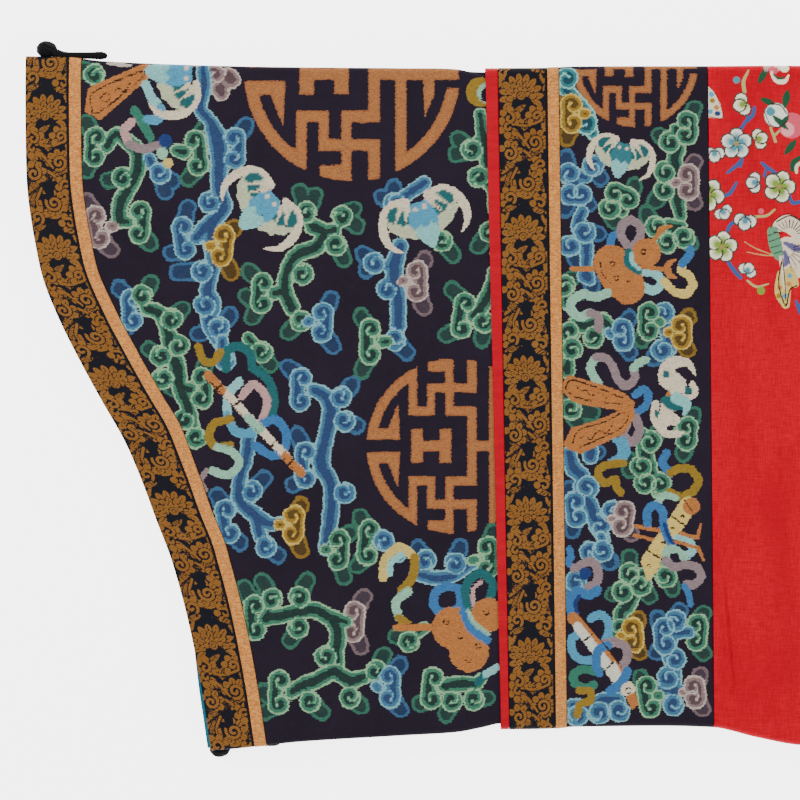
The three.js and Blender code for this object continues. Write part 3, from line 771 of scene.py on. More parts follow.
class Weaving:
    """The pattern over one piece: for each point, how deep it lies in a cloud, a lobe behind one, a figure, a
    dark line or a fret roundel, in steps, and the colours there."""

    def __init__(self, x, v):
        self.x = ((x - PATTERN_CORNER[0]) / STEP).ravel()
        self.y = ((PATTERN_CORNER[1] - v) / STEP).ravel()
        count = len(self.x)
        self.depth = {k: np.full(count, FAR) for k in ("cloud", "behind", "figure", "line", "fret")}
        self.tone = {k: np.zeros((count, 3)) for k in ("light", "mid", "dark", "behind", "figure")}

    def near(self, places, margin):
        """Points within a margin of a motif's own box."""
        places = np.array(places, float)[:, :2]
        low, high = places.min(0) - margin, places.max(0) + margin
        return np.flatnonzero((self.x > low[0]) & (self.x < high[0]) & (self.y > low[1]) & (self.y < high[1]))

    def cover(self, layer, at, depth, tones):
        """Lays a motif over what is there: its own depth and colours inside it, and just outside it the
        nearest."""
        kept = self.depth[layer][at]
        over = (depth > 0) | (depth > kept)
        self.depth[layer][at[over]] = depth[over]
        for name, colour in tones.items():
            self.tone[name][at[over]] = colour

    def cloud(self, hue, pairs=(), curls=(), stems=(), behind=()):
        """A cloud: curls on wavy stems, outlined in a pale line that winds into each curl, with plain lobes
        tucked behind. A pair of curls shares one rounded back. The edge sways by 0.5*sin(x/2.9 +
        sin(y/3.7))*cos(y/2.6)."""
        single = [(x, y, hand, None) for x, y, hand in curls]
        for xa, ya, xb, yb in pairs:
            single += [(xa, ya, 0, (xb, yb)), (xb, yb, 0, (xa, ya))]
        on_stems = np.array([p[:2] for path in stems for p in path], float)
        at = self.near([row[:2] for row in single] + [*on_stems, *behind], CURL + 6)
        if not len(at):
            return
        x, y = self.x[at], self.y[at]
        body = np.full(x.shape, NEVER)
        for path in stems:
            body = np.maximum(body, stroke_depth(x, y, [(px, py, half + STEM_MORE) for px, py, half in path]))
        wound = []
        for cx, cy, hand, mate in single:
            body = np.maximum(body, disc_depth(x, y, cx, cy, CURL))
            middle = np.array([(cx + mate[0]) / 2, (cy + mate[1]) / 2] if mate else [cx, cy])
            target = on_stems[np.argmin(np.hypot(*(on_stems - middle).T))]
            to = target - middle
            if mate:
                across = np.array([mate[0] - cx, mate[1] - cy]) / np.hypot(mate[0] - cx, mate[1] - cy)
                to = to - across * (to @ across)
                to = to / max(np.hypot(*to), 1e-6)
                hand = 1 if to[0] * across[1] - to[1] * across[0] > 0 else -1
                back = -0.28 * CURL * to
                root = [(cx + back[0], cy + back[1], 0.72 * CURL), (*(middle + back), 0.7 * CURL)]
            else:
                root = [(cx, cy, 0.6 * CURL), (*target, 0.5 * CURL)]
            body = np.maximum(body, stroke_depth(x, y, root))
            wound.append((cx, cy, np.arctan2(to[1], to[0]), hand))
        depth = body + 0.5 * np.sin(x / 2.9 + np.sin(y / 3.7)) * np.cos(y / 2.6)
        for curl in wound:
            depth = curl_depth(x, y, depth, *curl)
        light, mid, dark, lobe = (dye(*colour) for colour in CLOUD_DYES[hue])
        self.cover("cloud", at, depth, {"light": light, "mid": mid, "dark": dark})
        back = np.full(x.shape, NEVER)
        centres = np.array([row[:2] for row in single] or on_stems, float)
        for place in np.array(behind, float).reshape(-1, 2):
            near = centres[np.argmin(np.hypot(*(centres - place).T))]
            back = np.maximum(back, stroke_depth(x, y, [(*place, LOBE_BEHIND),
                                                        (*mix(place, near, 0.8), LOBE_BEHIND + 1)]))
        if len(behind):
            self.cover("behind", at, back + 0.5 * np.sin(y / 2.3), {"behind": lobe})

    def fill(self, colour, depth, at):
        """Lays a plain figure of one colour."""
        self.cover("figure", at, depth, {"figure": colour})

    def stroke(self, colour, path):
        """A stroke of one colour, along (x, y, half width) rows."""
        at = self.near(path, max(p[2] for p in path) + 3)
        if len(at):
            self.fill(colour, stroke_depth(self.x[at], self.y[at], path), at)

    def ribbon(self, width, path, *colours):
        """A ribbon along (x, y) places whose colour changes on the way, tapering at its ends."""
        whole = [(x, y, width / 2) for x, y in path]
        share = len(whole) / len(colours)
        for k, colour in enumerate(colours):
            part = whole[int(k * share):int((k + 1) * share) + 1]
            if len(part) > 1:
                self.stroke(colour, part)

    def patch(self, colour, *corners):
        """A patch of one colour, by its corners."""
        at = self.near(corners, 3)
        if len(at):
            self.fill(colour, polygon_depth(self.x[at], self.y[at], corners), at)

    def dot(self, colour, x, y, radius):
        """A disc of one colour."""
        at = self.near([(x, y)], radius + 3)
        if len(at):
            self.fill(colour, disc_depth(self.x[at], self.y[at], x, y, radius), at)

    def hole(self, x, y, rx, ry=None):
        """Bare ground inside a ribbon's loop: an ellipse, by (1 - |p/(rx, ry)|)*min(rx, ry)."""
        ry = ry or rx
        at = self.near([(x, y)], max(rx, ry) + 2)
        inside = (1 - np.hypot((self.x[at] - x) / rx, (self.y[at] - y) / ry)) * min(rx, ry)
        self.depth["figure"][at] = np.minimum(self.depth["figure"][at], -inside)

    def line(self, width, *path):
        """A thin dark line over a figure."""
        rows = [(x, y, width / 2) for x, y in path]
        at = self.near(rows, width + 2)
        if len(at):
            self.depth["line"][at] = np.maximum(self.depth["line"][at],
                                                stroke_depth(self.x[at], self.y[at], rows))

    def diamond(self, width, x, y, half):
        """A dark diamond, as an outline."""
        self.line(width, (x - half, y), (x, y - half), (x + half, y), (x, y + half), (x - half, y))

    def fret_roundel(self, cx, cy, radius):
        """A round fret medallion. Its lower half is bars, two arcs and two spikes, and the upper mirrors
        it."""
        at = self.near([(cx, cy)], radius + 3)
        if not len(at):
            return
        u, w = (self.x[at] - cx) / radius, abs(self.y[at] - cy) / radius
        far = np.hypot(u, w)
        depth = np.full(u.shape, NEVER)
        for left, right, near_mid, away in FRET_BARS:
            low = -1.0 if near_mid == 0 else near_mid
            box = np.minimum(np.minimum(u - left, right - u), np.minimum(w - low, away - w))
            depth = np.maximum(depth, np.minimum(box, 1 - far))
        for side, across, low in FRET_ARCS:
            arc = np.minimum(np.minimum(1 - far, far - FRET_RING), np.minimum(side * u - across, w - low))
            depth = np.maximum(depth, arc)
        for corners in FRET_SPIKES:
            depth = np.maximum(depth, polygon_depth(u, w, corners))
        self.depth["fret"][at] = np.maximum(self.depth["fret"][at], depth * radius)

    def put_on(self, piece):
        """Keeps the pattern on a piece for its material."""
        for name, depth in self.depth.items():
            put_number(piece, name, np.clip(depth, FAR, -FAR))
        for name, tone in self.tone.items():
            put_colour(piece, name + "_tone", tone)


# The fret roundel's bars, as shares of its radius: left, right, and from and to below the middle
FRET_BARS = (
    (-0.49, -0.352, 0, 0.195), (-0.165, -0.03, 0, 0.195), (-0.49, -0.03, 0, 0.062),
    (-1.0, -0.62, 0.07, 0.2), (-0.52, -0.42, 0.345, 0.95), (-0.52, -0.22, 0.345, 0.455),
    (-0.31, -0.215, 0.345, 0.715), (-0.31, 0.25, 0.61, 0.718), (-0.1, -0.005, 0.345, 1.0),
    (-0.1, 0.25, 0.345, 0.455), (0.15, 0.26, 0, 0.455), (-0.3, -0.005, 0.85, 1.0),
    (0.15, 0.26, 0.61, 0.985), (0.15, 0.99, 0, 0.062), (0.4, 0.505, 0, 0.95), (0.66, 0.765, 0, 0.19),
)
FRET_RING = 0.885                # inside of the ring that its two arcs are cut from
FRET_ARCS = ((-1, 0.44, 0.07), (1, 0.44, 0.14))  # side, and from how far out and how far below the middle
FRET_SPIKES = (((-0.76, 0.19), (-0.62, 0.1), (-0.635, 0.5)),
               ((0.66, 0.15), (0.765, 0.15), (0.765, 0.2), (0.67, 0.42)))


def sleeve_clouds(w):
    """Clouds over the bare sleeve, from the shoulder down."""
    w.cloud("green", curls=[(94, 74, CCW)], stems=[[(100, 84, 5), (106, 94, 5)]], behind=[(83, 69)])
    w.cloud("green", pairs=[(95, 137, 94, 156), (140, 211, 139, 233)], curls=[(122, 177, CCW)],
            stems=[[(106, 146, 6), (116, 134, 6), (128, 142, 7), (137, 152, 7), (137, 170, 7), (127, 190, 7),
                    (120, 203, 7), (119, 220, 7)], [(119, 220, 6), (128, 222, 5)]],
            behind=[(86, 122), (86, 170), (150, 243), (108, 180)])
    w.cloud("mauve", pairs=[(95, 216, 99, 238)], stems=[[(110, 226, 4), (113, 226, 4)]],
            behind=[(87, 201), (111, 250)])
    w.cloud("blue", curls=[(160, 173, CW)], stems=[[(152, 165, 5), (149, 158, 5)]],
            behind=[(172, 181), (165, 192)])
    w.cloud("green", pairs=[(195, 140, 198, 165)], stems=[[(184, 152, 6), (176, 150, 5)]],
            behind=[(204, 128), (188, 179)])
    w.cloud("mauve", curls=[(214, 74, CW)], stems=[[(228, 76, 8), (231, 79, 8)],
                                                   [(220, 88, 8), (221, 92, 7)]])
    w.cloud("blue", pairs=[(235, 138, 235, 158), (182, 227, 185, 249)],
            curls=[(209, 202, CCW), (201, 271, CCW), (204, 305, CCW), (219, 327, CW)],
            stems=[[(202, 64, 5), (204, 85, 6), (200, 108, 6), (210, 121, 6), (217, 139, 9), (219, 158, 8),
                    (219, 188, 7), (224, 207, 7), (213, 222, 7), (211, 244, 7), (213, 265, 6), (207, 291, 7),
                    (213, 303, 7), (209, 323, 7), (222, 346, 6)],
                    [(220, 214, 6), (206, 226, 7), (196, 238, 6)]],
            behind=[(246, 125), (188, 207), (171, 253), (177, 272), (230, 315), (198, 334)])
    w.cloud("gold", pairs=[(224, 235, 221, 256)], stems=[[(212, 246, 4), (210, 246, 4)]],
            behind=[(234, 228), (231, 272)])
    w.cloud("green", pairs=[(262, 283, 261, 303)],
            curls=[(306, 212, CCW), (342, 216, CW), (336, 245, CW), (303, 274, CW), (301, 321, CCW)],
            stems=[[(312, 226, 7), (324, 233, 7), (316, 247, 7), (300, 253, 7), (288, 266, 6), (285, 290, 7),
                    (292, 308, 7)], [(322, 232, 6), (334, 230, 6)], [(285, 290, 6), (274, 293, 6)]],
            behind=[(300, 191), (315, 195), (354, 209), (357, 226), (344, 259), (249, 271), (246, 296),
                    (252, 317), (288, 332)])
    w.cloud("blue", pairs=[(323, 313, 322, 332)], stems=[[(310, 321, 4), (307, 322, 4)]],
            behind=[(331, 299), (333, 346)])
    w.cloud("blue", curls=[(394, 203, CCW)], stems=[[(405, 196, 6), (424, 183, 6)]],
            behind=[(382, 197), (394, 187)])
    w.cloud("blue", curls=[(387, 289, CCW), (395, 340, CW), (374, 263, CCW)],
            stems=[[(400, 246, 7), (394, 268, 8), (398, 300, 7), (398, 326, 7)]],
            behind=[(363, 254), (366, 270), (407, 353)])
    w.cloud("mauve", pairs=[(417, 271, 417, 291)], stems=[[(404, 281, 4), (402, 281, 4)]],
            behind=[(425, 259), (424, 308)])
    w.cloud("green", curls=[(442, 241, CW)], stems=[[(434, 230, 6), (437, 220, 6)]], behind=[(453, 255)])
    w.cloud("green", pairs=[(370, 329, 370, 354)], stems=[[(383, 342, 5), (387, 341, 5)]],
            behind=[(361, 316), (362, 371)])
    w.cloud("green", curls=[(471, 150, CCW), (478, 177, CW)],
            stems=[[(480, 114, 5), (483, 134, 6), (490, 158, 10), (493, 188, 6), (494, 210, 5)]],
            behind=[(458, 139), (456, 154)])
    w.cloud("green", curls=[(490, 232, CCW)], stems=[[(497, 245, 5), (498, 270, 6)]], behind=[(478, 246)])
    w.cloud("green", pairs=[(465, 303, 461, 328)], curls=[(484, 322, CW)],
            stems=[[(474, 316, 6), (482, 306, 7), (490, 290, 6), (494, 272, 5)]],
            behind=[(452, 289), (446, 335), (482, 340)])
    w.cloud("blue", pairs=[(131, 299, 132, 320)], stems=[[(144, 310, 4), (147, 311, 4)]],
            behind=[(119, 288), (122, 331)])
    w.cloud("green", pairs=[(202, 378, 202, 398)],
            curls=[(142, 295, CCW), (172, 319, CW), (179, 345, CW), (160, 356, CCW), (162, 379, CCW),
                   (184, 419, CCW), (196, 438, CW)],
            stems=[[(146, 308, 6), (160, 314, 7), (168, 332, 7), (171, 352, 8), (177, 368, 8), (180, 388, 7),
                    (187, 404, 7), (192, 426, 6)], [(180, 388, 6), (190, 389, 6)]],
            behind=[(151, 283), (182, 309), (149, 349), (173, 388), (205, 365)])
    w.cloud("green", curls=[(262, 352, CW)], stems=[[(254, 344, 5), (248, 338, 5)]], behind=[(270, 365)])
    w.cloud("blue", curls=[(225, 360, CW)], stems=[[(222, 347, 5), (222, 340, 5)]])
    w.cloud("blue", pairs=[(225, 510, 229, 533)], curls=[(252, 491, CW), (266, 547, CW)],
            stems=[[(249, 436, 6), (246, 458, 6), (240, 478, 6), (240, 500, 7), (256, 516, 7), (270, 524, 6),
                    (281, 523, 5)],
                   [(256, 518, 6), (260, 536, 6)]],
            behind=[(264, 478), (217, 495), (240, 543), (278, 556)])
    w.cloud("gold", pairs=[(294, 516, 293, 534)], stems=[[(281, 525, 4), (279, 525, 4)]],
            behind=[(301, 505), (301, 550)])
    w.cloud("blue", pairs=[(301, 378, 300, 401), (305, 452, 305, 478)],
            curls=[(341, 397, CW), (345, 421, CW), (345, 493, CW)],
            stems=[[(314, 390, 6), (326, 397, 7), (331, 412, 8), (325, 440, 7), (321, 464, 8), (331, 484, 7),
                    (331, 511, 7), (326, 548, 7)]],
            behind=[(288, 367), (352, 385), (357, 426), (297, 434), (293, 485)])
    w.cloud("green", pairs=[(339, 540, 338, 560)], stems=[[(327, 550, 4), (325, 550, 4)]],
            behind=[(344, 577), (350, 533)])
    w.cloud("green", pairs=[(369, 530, 367, 555)], stems=[[(379, 542, 5), (384, 543, 5)]],
            behind=[(360, 517), (357, 566)])
    w.cloud("blue", curls=[(384, 541, CW)], stems=[[(392, 550, 5), (399, 556, 5)]])
    w.cloud("blue", curls=[(426, 560, CCW), (455, 563, CW)],
            stems=[[(416, 574, 5), (433, 578, 6), (450, 577, 6), (473, 562, 6)]],
            behind=[(460, 547), (418, 548)])
    w.cloud("green", pairs=[(488, 547, 488, 568)], stems=[[(475, 560, 4), (472, 560, 4)]],
            behind=[(493, 532)])
    w.cloud("mauve", pairs=[(355, 612, 353, 632)], stems=[[(342, 622, 4), (340, 622, 4)]],
            behind=[(364, 597), (361, 647)])
    w.cloud("green", curls=[(409, 642, CW)], stems=[[(418, 632, 5), (424, 628, 5)]], behind=[(396, 636)])
    w.cloud("green", pairs=[(254, 606, 255, 630)],
            curls=[(272, 599, CCW), (299, 597, CW), (298, 628, CCW), (325, 657, CCW)],
            stems=[[(266, 618, 7), (285, 615, 7), (301, 611, 7), (317, 611, 7), (330, 618, 7), (346, 622, 5)],
                   [(331, 618, 7), (338, 634, 7), (336, 650, 7), (336, 668, 7)]],
            behind=[(244, 588), (262, 581), (307, 580), (290, 641)])
    w.cloud("green", pairs=[(279, 681, 278, 704)], curls=[(310, 702, CW), (350, 698, CW), (376, 671, CW)],
            stems=[[(292, 692, 6), (304, 685, 7), (318, 680, 7), (334, 672, 7), (350, 681, 7),
                    (366, 676, 6)]],
            behind=[(263, 692), (265, 713), (322, 713), (361, 706), (384, 655)])
    w.cloud("blue", pairs=[(390, 677, 390, 698)], stems=[[(378, 688, 4), (376, 686, 4)]],
            behind=[(400, 664), (401, 710)])
    w.cloud("green", pairs=[(433, 678, 431, 699)], curls=[(452, 701, CW), (474, 700, CW)],
            stems=[[(444, 686, 6), (458, 684, 7), (474, 684, 6), (480, 680, 5)]],
            behind=[(420, 704), (446, 715), (487, 698)])


def bat(w, x, y, turn, size=1.0, head=SKY):
    """A bat with outspread wings: its own shapes, in steps from its middle, turned and sized to its place.
    Each wing is a membrane under a long curved arm, with dark gaps between its fingers."""
    c, s = np.cos(np.radians(turn)) * size, np.sin(np.radians(turn)) * size

    def at(rows):
        return [(x + c * px - s * py, y + s * px + c * py, *[q * size for q in rest]) for px, py,
                *rest in rows]

    for side in (-1, 1):
        def wing(rows):
            return at([(side * px, py, *rest) for px, py, *rest in rows])
        w.patch(WING, *wing([(12, -20), (24, -23), (37, -14), (36, 0), (33, 4), (29, 7), (26, 12), (20, 13),
                             (13, 18),
                             (10, 10), (8, -8)]))
        w.stroke(CREAM, wing([(11, -22, 4), (26, -24, 3.4), (38, -15, 4.2), (43, 0, 4.6), (42, 12, 3.6),
                              (37, 20, 2.4),
                              (31, 25, 0.8)]))
        w.patch(SEA, *wing([(20, -22), (30, -20), (35, -15), (34, -8), (29, -5)]))
        w.patch(SEA, *wing([(15, -17), (22, -13), (28, -5), (21, 1)]))
        w.patch(SEA, *wing([(10, -12), (16, -7), (19, -1), (14, 1)]))
        w.stroke(CREAM, wing([(13, -20, 3), (22, -13, 1.3), (29, -5, 0.9)]))
        w.stroke(CREAM, wing([(10, -15, 2.6), (16, -9, 1.2), (20, -1, 0.8)]))
    w.patch(AQUA, *at([(-11, 4), (11, 4), (12, 13), (8, 22), (3, 29), (-2, 30), (-8, 23), (-12, 13)]))
    w.patch(head, *at([(-8, -18), (8, -18), (13, -8), (15, 2), (12, 9), (6, 4), (1, 9), (-6, 4), (-12, 9),
                       (-15, 2),
                       (-13, -8)]))
    for side in (-1, 1):
        w.dot(CREAM, *at([(side * 5, -12)])[0], 2.4 * size)


def sleeve_figures(w):
    """Figures and ribbons over the bare sleeve's clouds."""
    w.stroke(dye(206, 196, 182), [(107, 62, 1.5), (118, 63, 3), (131, 65.5, 1.5)])
    w.patch(ORANGE, (151.8, 62.6), (141, 64), (88, 87), (84, 111), (99.5, 120), (149, 77))
    w.line(1.5, (143, 70), (94, 91), (91, 108), (99, 112), (142, 77), (143, 70))
    w.line(1.2, (100, 98), (106, 92), (110, 97), (105, 102), (100, 98))
    w.line(1.2, (112, 94), (118, 88), (124, 90), (130, 83))
    w.dot(ROSE, 149, 66, 3.5)
    w.ribbon(9, [(131, 122), (124, 130), (129, 144), (143, 149), (157, 145)], ROSE, MAUVE)
    w.ribbon(9, [(134, 110), (142, 122), (150, 137)], GREEN)
    w.ribbon(9, [(145, 84), (152, 98), (161, 108), (158, 119), (147, 119)], AQUA, SKY)
    w.dot(DEEP, 165, 141, 7)
    w.dot(MINT, 162, 153, 6)
    w.dot(STRAW, 168, 163, 5)
    bat(w, 174, 72, 92)
    bat(w, 262, 208, 48)
    bat(w, 424, 219, -20)
    w.dot(OLIVE, 481, 92, 15)
    w.dot(MINT, 488, 93, 10.5)
    w.hole(490, 95, 9)
    w.ribbon(9, [(226, 368), (226, 352), (238, 346), (250, 354), (252, 368)], SEA)
    w.ribbon(8, [(198, 346), (203, 360), (213, 362), (220, 352)], OLIVE)
    # The flute with its ribbons
    w.ribbon(9, [(239, 382), (228, 395), (227, 416), (236, 432), (252, 433)], AQUA, SKY)
    w.ribbon(9, [(253, 368), (268, 380), (274, 398), (272, 417)], SEA)
    w.ribbon(8, [(242, 396), (254, 384), (267, 400), (262, 420)], ROSE)
    w.ribbon(9, [(263, 423), (276, 420), (286, 433), (284, 449), (272, 456), (256, 446)], MID_BLUE)
    w.ribbon(8.5, [(230, 419), (214, 424), (209, 437), (216, 447), (230, 445)], OLIVE)
    w.ribbon(8.5, [(217, 447), (232, 452), (239, 464), (228, 475), (212, 471)], MINT)
    w.ribbon(6, [(206, 471), (200, 481), (205, 490)], MAUVE)
    w.stroke(CREAM, [(212, 379, 4.2), (299, 470, 4.2)])
    w.stroke(ORANGE, [(208, 375, 4.6), (222, 390, 4.4)])
    w.stroke(ORANGE, [(285, 456, 4.4), (301, 473, 4.6)])
    w.stroke(MINT, [(248, 418, 4.6), (259, 429, 4.6)])
    for x, y in ((219, 387), (236, 404), (273, 444), (291, 462)):
        w.line(2.2, (x - 3, y + 3), (x + 3, y - 3))
    w.line(0.9, (209, 381), (298, 474))
    # The gourd at the cuff, its staff and sash
    w.ribbon(9, [(383, 578), (385, 560), (400, 547), (415, 558), (413, 577), (402, 590)], STRAW, OLIVE)
    w.ribbon(6, [(390, 574), (391, 563), (401, 555)], AQUA)
    w.ribbon(9, [(408, 592), (396, 602), (399, 618), (408, 625)], MINT, OLIVE)
    w.ribbon(9, [(449, 586), (436, 592), (434, 606), (446, 613), (460, 606), (459, 590), (449, 586)],
             MID_BLUE)
    w.ribbon(9, [(467, 608), (466, 586), (480, 573), (493, 584), (489, 600)], SEA)
    w.ribbon(4, [(474, 606), (473, 590), (481, 582)], ROSE)
    w.stroke(ORANGE, [(396, 628, 3.5), (440, 627, 3.5)])
    w.dot(ORANGE, 453, 628, 21)
    w.dot(ORANGE, 469, 652, 20)
    w.dot(ORANGE, 488, 615, 17)
    w.ribbon(9, [(464, 612), (471, 628), (487, 640)], MID_BLUE)
    w.ribbon(4, [(468, 611), (475, 624), (489, 634)], MINT)
    for x, y in ((446, 622), (460, 636), (468, 660), (486, 612), (478, 646)):
        w.diamond(1.1, x, y, 3)
    w.ribbon(8, [(478, 682), (486, 674), (496, 668)], SEA, AQUA)
    w.fret_roundel(352, 73, 108)
    w.fret_roundel(454, 446, 87.5)


def cuff_clouds(w):
    """Clouds over the cuff's kesi band, from the shoulder down."""
    w.cloud("teal", curls=[(567, 78, CW), (585, 124, CCW)],
            stems=[[(566, 90, 6), (578, 104, 6), (588, 116, 6), (592, 134, 5)]])
    w.cloud("gold", pairs=[(571, 105, 571, 123)], stems=[[(583, 114, 4), (585, 114, 4)]],
            behind=[(564, 91), (567, 139)])
    w.cloud("blue", curls=[(568, 174, CW), (593, 166, CCW)], pairs=[(570, 195, 581, 195)],
            stems=[[(578, 176, 6), (573, 184, 6), (576, 186, 6)], [(578, 176, 6), (585, 178, 5)]],
            behind=[(566, 158), (600, 179), (565, 210), (588, 205)])
    w.cloud("green", pairs=[(615, 193, 628, 199)], curls=[(609, 209, CCW)],
            stems=[[(620, 206, 6), (622, 212, 5)]],
            behind=[(634, 186), (614, 222)])
    w.cloud("green", pairs=[(687, 122, 687, 135)], curls=[(669, 142, CCW), (664, 172, CCW), (664, 190, CCW)],
            stems=[[(676, 130, 6), (678, 146, 7), (674, 160, 7), (676, 176, 8), (677, 198, 7),
                    (680, 216, 5)]],
            behind=[(694, 109), (659, 136), (654, 202)])
    w.cloud("mauve", pairs=[(688, 175, 688, 190)], stems=[[(677, 183, 4), (675, 183, 4)]],
            behind=[(694, 162), (694, 203)])
    w.cloud("blue", curls=[(585, 232, CW), (569, 246, CCW)],
            stems=[[(582, 212, 5), (578, 226, 6), (586, 246, 6), (586, 266, 5)],
                   [(586, 276, 8), (588, 279, 6)]],
            behind=[(598, 234), (592, 286)])
    w.cloud("green", curls=[(655, 227, CCW), (666, 243, CCW), (684, 238, CW)],
            stems=[[(664, 226, 6), (674, 228, 7), (680, 228, 6)]], behind=[(690, 244), (646, 214)])
    w.cloud("green", curls=[(564, 286, CCW)], stems=[[(566, 298, 5), (565, 304, 4)]], behind=[(572, 278)])
    w.cloud("green", curls=[(569, 333, CW), (572, 349, CCW), (593, 338, CCW)],
            stems=[[(574, 324, 6), (588, 326, 7), (602, 320, 6), (612, 332, 6)],
                   [(568, 360, 5), (567, 370, 7)]],
            behind=[(563, 352)])
    w.cloud("blue", pairs=[(622, 329, 623, 341)], stems=[[(611, 334, 4), (609, 333, 4)]],
            behind=[(629, 318), (629, 353)])
    w.cloud("blue", curls=[(663, 313, CW), (661, 350, CCW)],
            stems=[[(654, 320, 6), (664, 326, 7), (668, 336, 7), (670, 350, 5)]], behind=[(653, 358)])
    w.cloud("green", pairs=[(648, 313, 648, 330)], stems=[[(658, 322, 4), (660, 322, 4)]],
            behind=[(641, 340)])
    w.cloud("gold", pairs=[(681, 326, 681, 339)], stems=[[(670, 332, 4), (668, 332, 4)]],
            behind=[(688, 317), (687, 350)])
    w.cloud("green", curls=[(571, 409, CW)], stems=[[(566, 398, 5), (564, 394, 4)]],
            behind=[(578, 424), (592, 413)])
    w.cloud("blue", pairs=[(574, 502, 576, 517)], curls=[(588, 487, CCW), (590, 552, CW), (599, 525, CW),
                                                         (612, 511, CCW)],
            stems=[[(569, 453, 6), (573, 468, 7), (582, 477, 7), (580, 490, 6), (589, 504, 7), (594, 516, 7),
                    (602, 536, 6), (604, 546, 6)], [(600, 528, 5), (612, 522, 5), (618, 520, 4)]],
            behind=[(569, 489), (572, 530), (611, 561)])
    w.cloud("blue", curls=[(602, 551, CCW)], stems=[[(602, 540, 4), (601, 536, 4)]], behind=[(609, 562)])
    w.cloud("blue", stems=[[(590, 450, 7), (590, 456, 7)]], behind=[(597, 452)])
    w.cloud("mauve", pairs=[(624, 511, 622, 526)], stems=[[(612, 519, 3), (611, 519, 3)]],
            behind=[(631, 533)])
    w.cloud("green", curls=[(650, 441, CW), (640, 466, CCW), (644, 483, CCW), (660, 483, CW)],
            stems=[[(642, 432, 4), (644, 450, 7), (648, 464, 7), (651, 476, 6), (656, 492, 4)]],
            behind=[(628, 460), (629, 470), (657, 432)])
    w.cloud("green", pairs=[(687, 427, 686, 440)], stems=[[(677, 433, 3), (675, 433, 3)]],
            behind=[(693, 415), (683, 454)])
    w.cloud("blue", curls=[(576, 581, CCW)], stems=[[(570, 590, 5), (570, 596, 4)]])
    w.cloud("green", curls=[(629, 573, CCW), (622, 591, CCW), (641, 585, CW), (666, 577, CCW),
                            (618, 629, CCW)],
            stems=[[(634, 580, 6), (632, 594, 7), (628, 604, 7), (621, 612, 6), (620, 622, 6)],
                   [(634, 578, 5), (650, 570, 5), (658, 570, 6)]],
            behind=[(613, 594), (649, 596), (672, 588), (629, 557)])
    w.cloud("gold", pairs=[(632, 628, 633, 642)], stems=[[(622, 635, 3), (620, 635, 3)]],
            behind=[(638, 619), (639, 652)])
    w.cloud("green", pairs=[(697, 624, 696, 640)], stems=[[(686, 632, 4), (684, 632, 4)]],
            behind=[(703, 613), (703, 653)])
    w.cloud("blue", pairs=[(663, 628, 664, 643)], curls=[(675, 620, CW), (675, 658, CW), (667, 677, CCW),
                                                         (673, 705, CW)],
            stems=[[(672, 632, 6), (688, 632, 5)], [(670, 640, 6), (668, 652, 6), (672, 666, 6),
                                                    (674, 680, 6), (672, 690, 6),
                    (688, 690, 5)], [(674, 688, 6), (660, 690, 6), (650, 697, 5)]],
            behind=[(657, 618), (656, 652), (679, 610)])
    w.cloud("green", pairs=[(646, 686, 650, 707)], stems=[[(657, 695, 4), (659, 695, 4)]],
            behind=[(640, 677)])
    w.cloud("mauve", pairs=[(694, 686, 695, 698)], stems=[[(684, 692, 3), (682, 692, 3)]],
            behind=[(700, 675), (702, 708)])
    w.cloud("blue", curls=[(577, 716, CCW), (599, 713, CCW), (619, 711, CW)],
            stems=[[(573, 705, 6), (588, 706, 6), (604, 700, 7), (618, 700, 6)]])


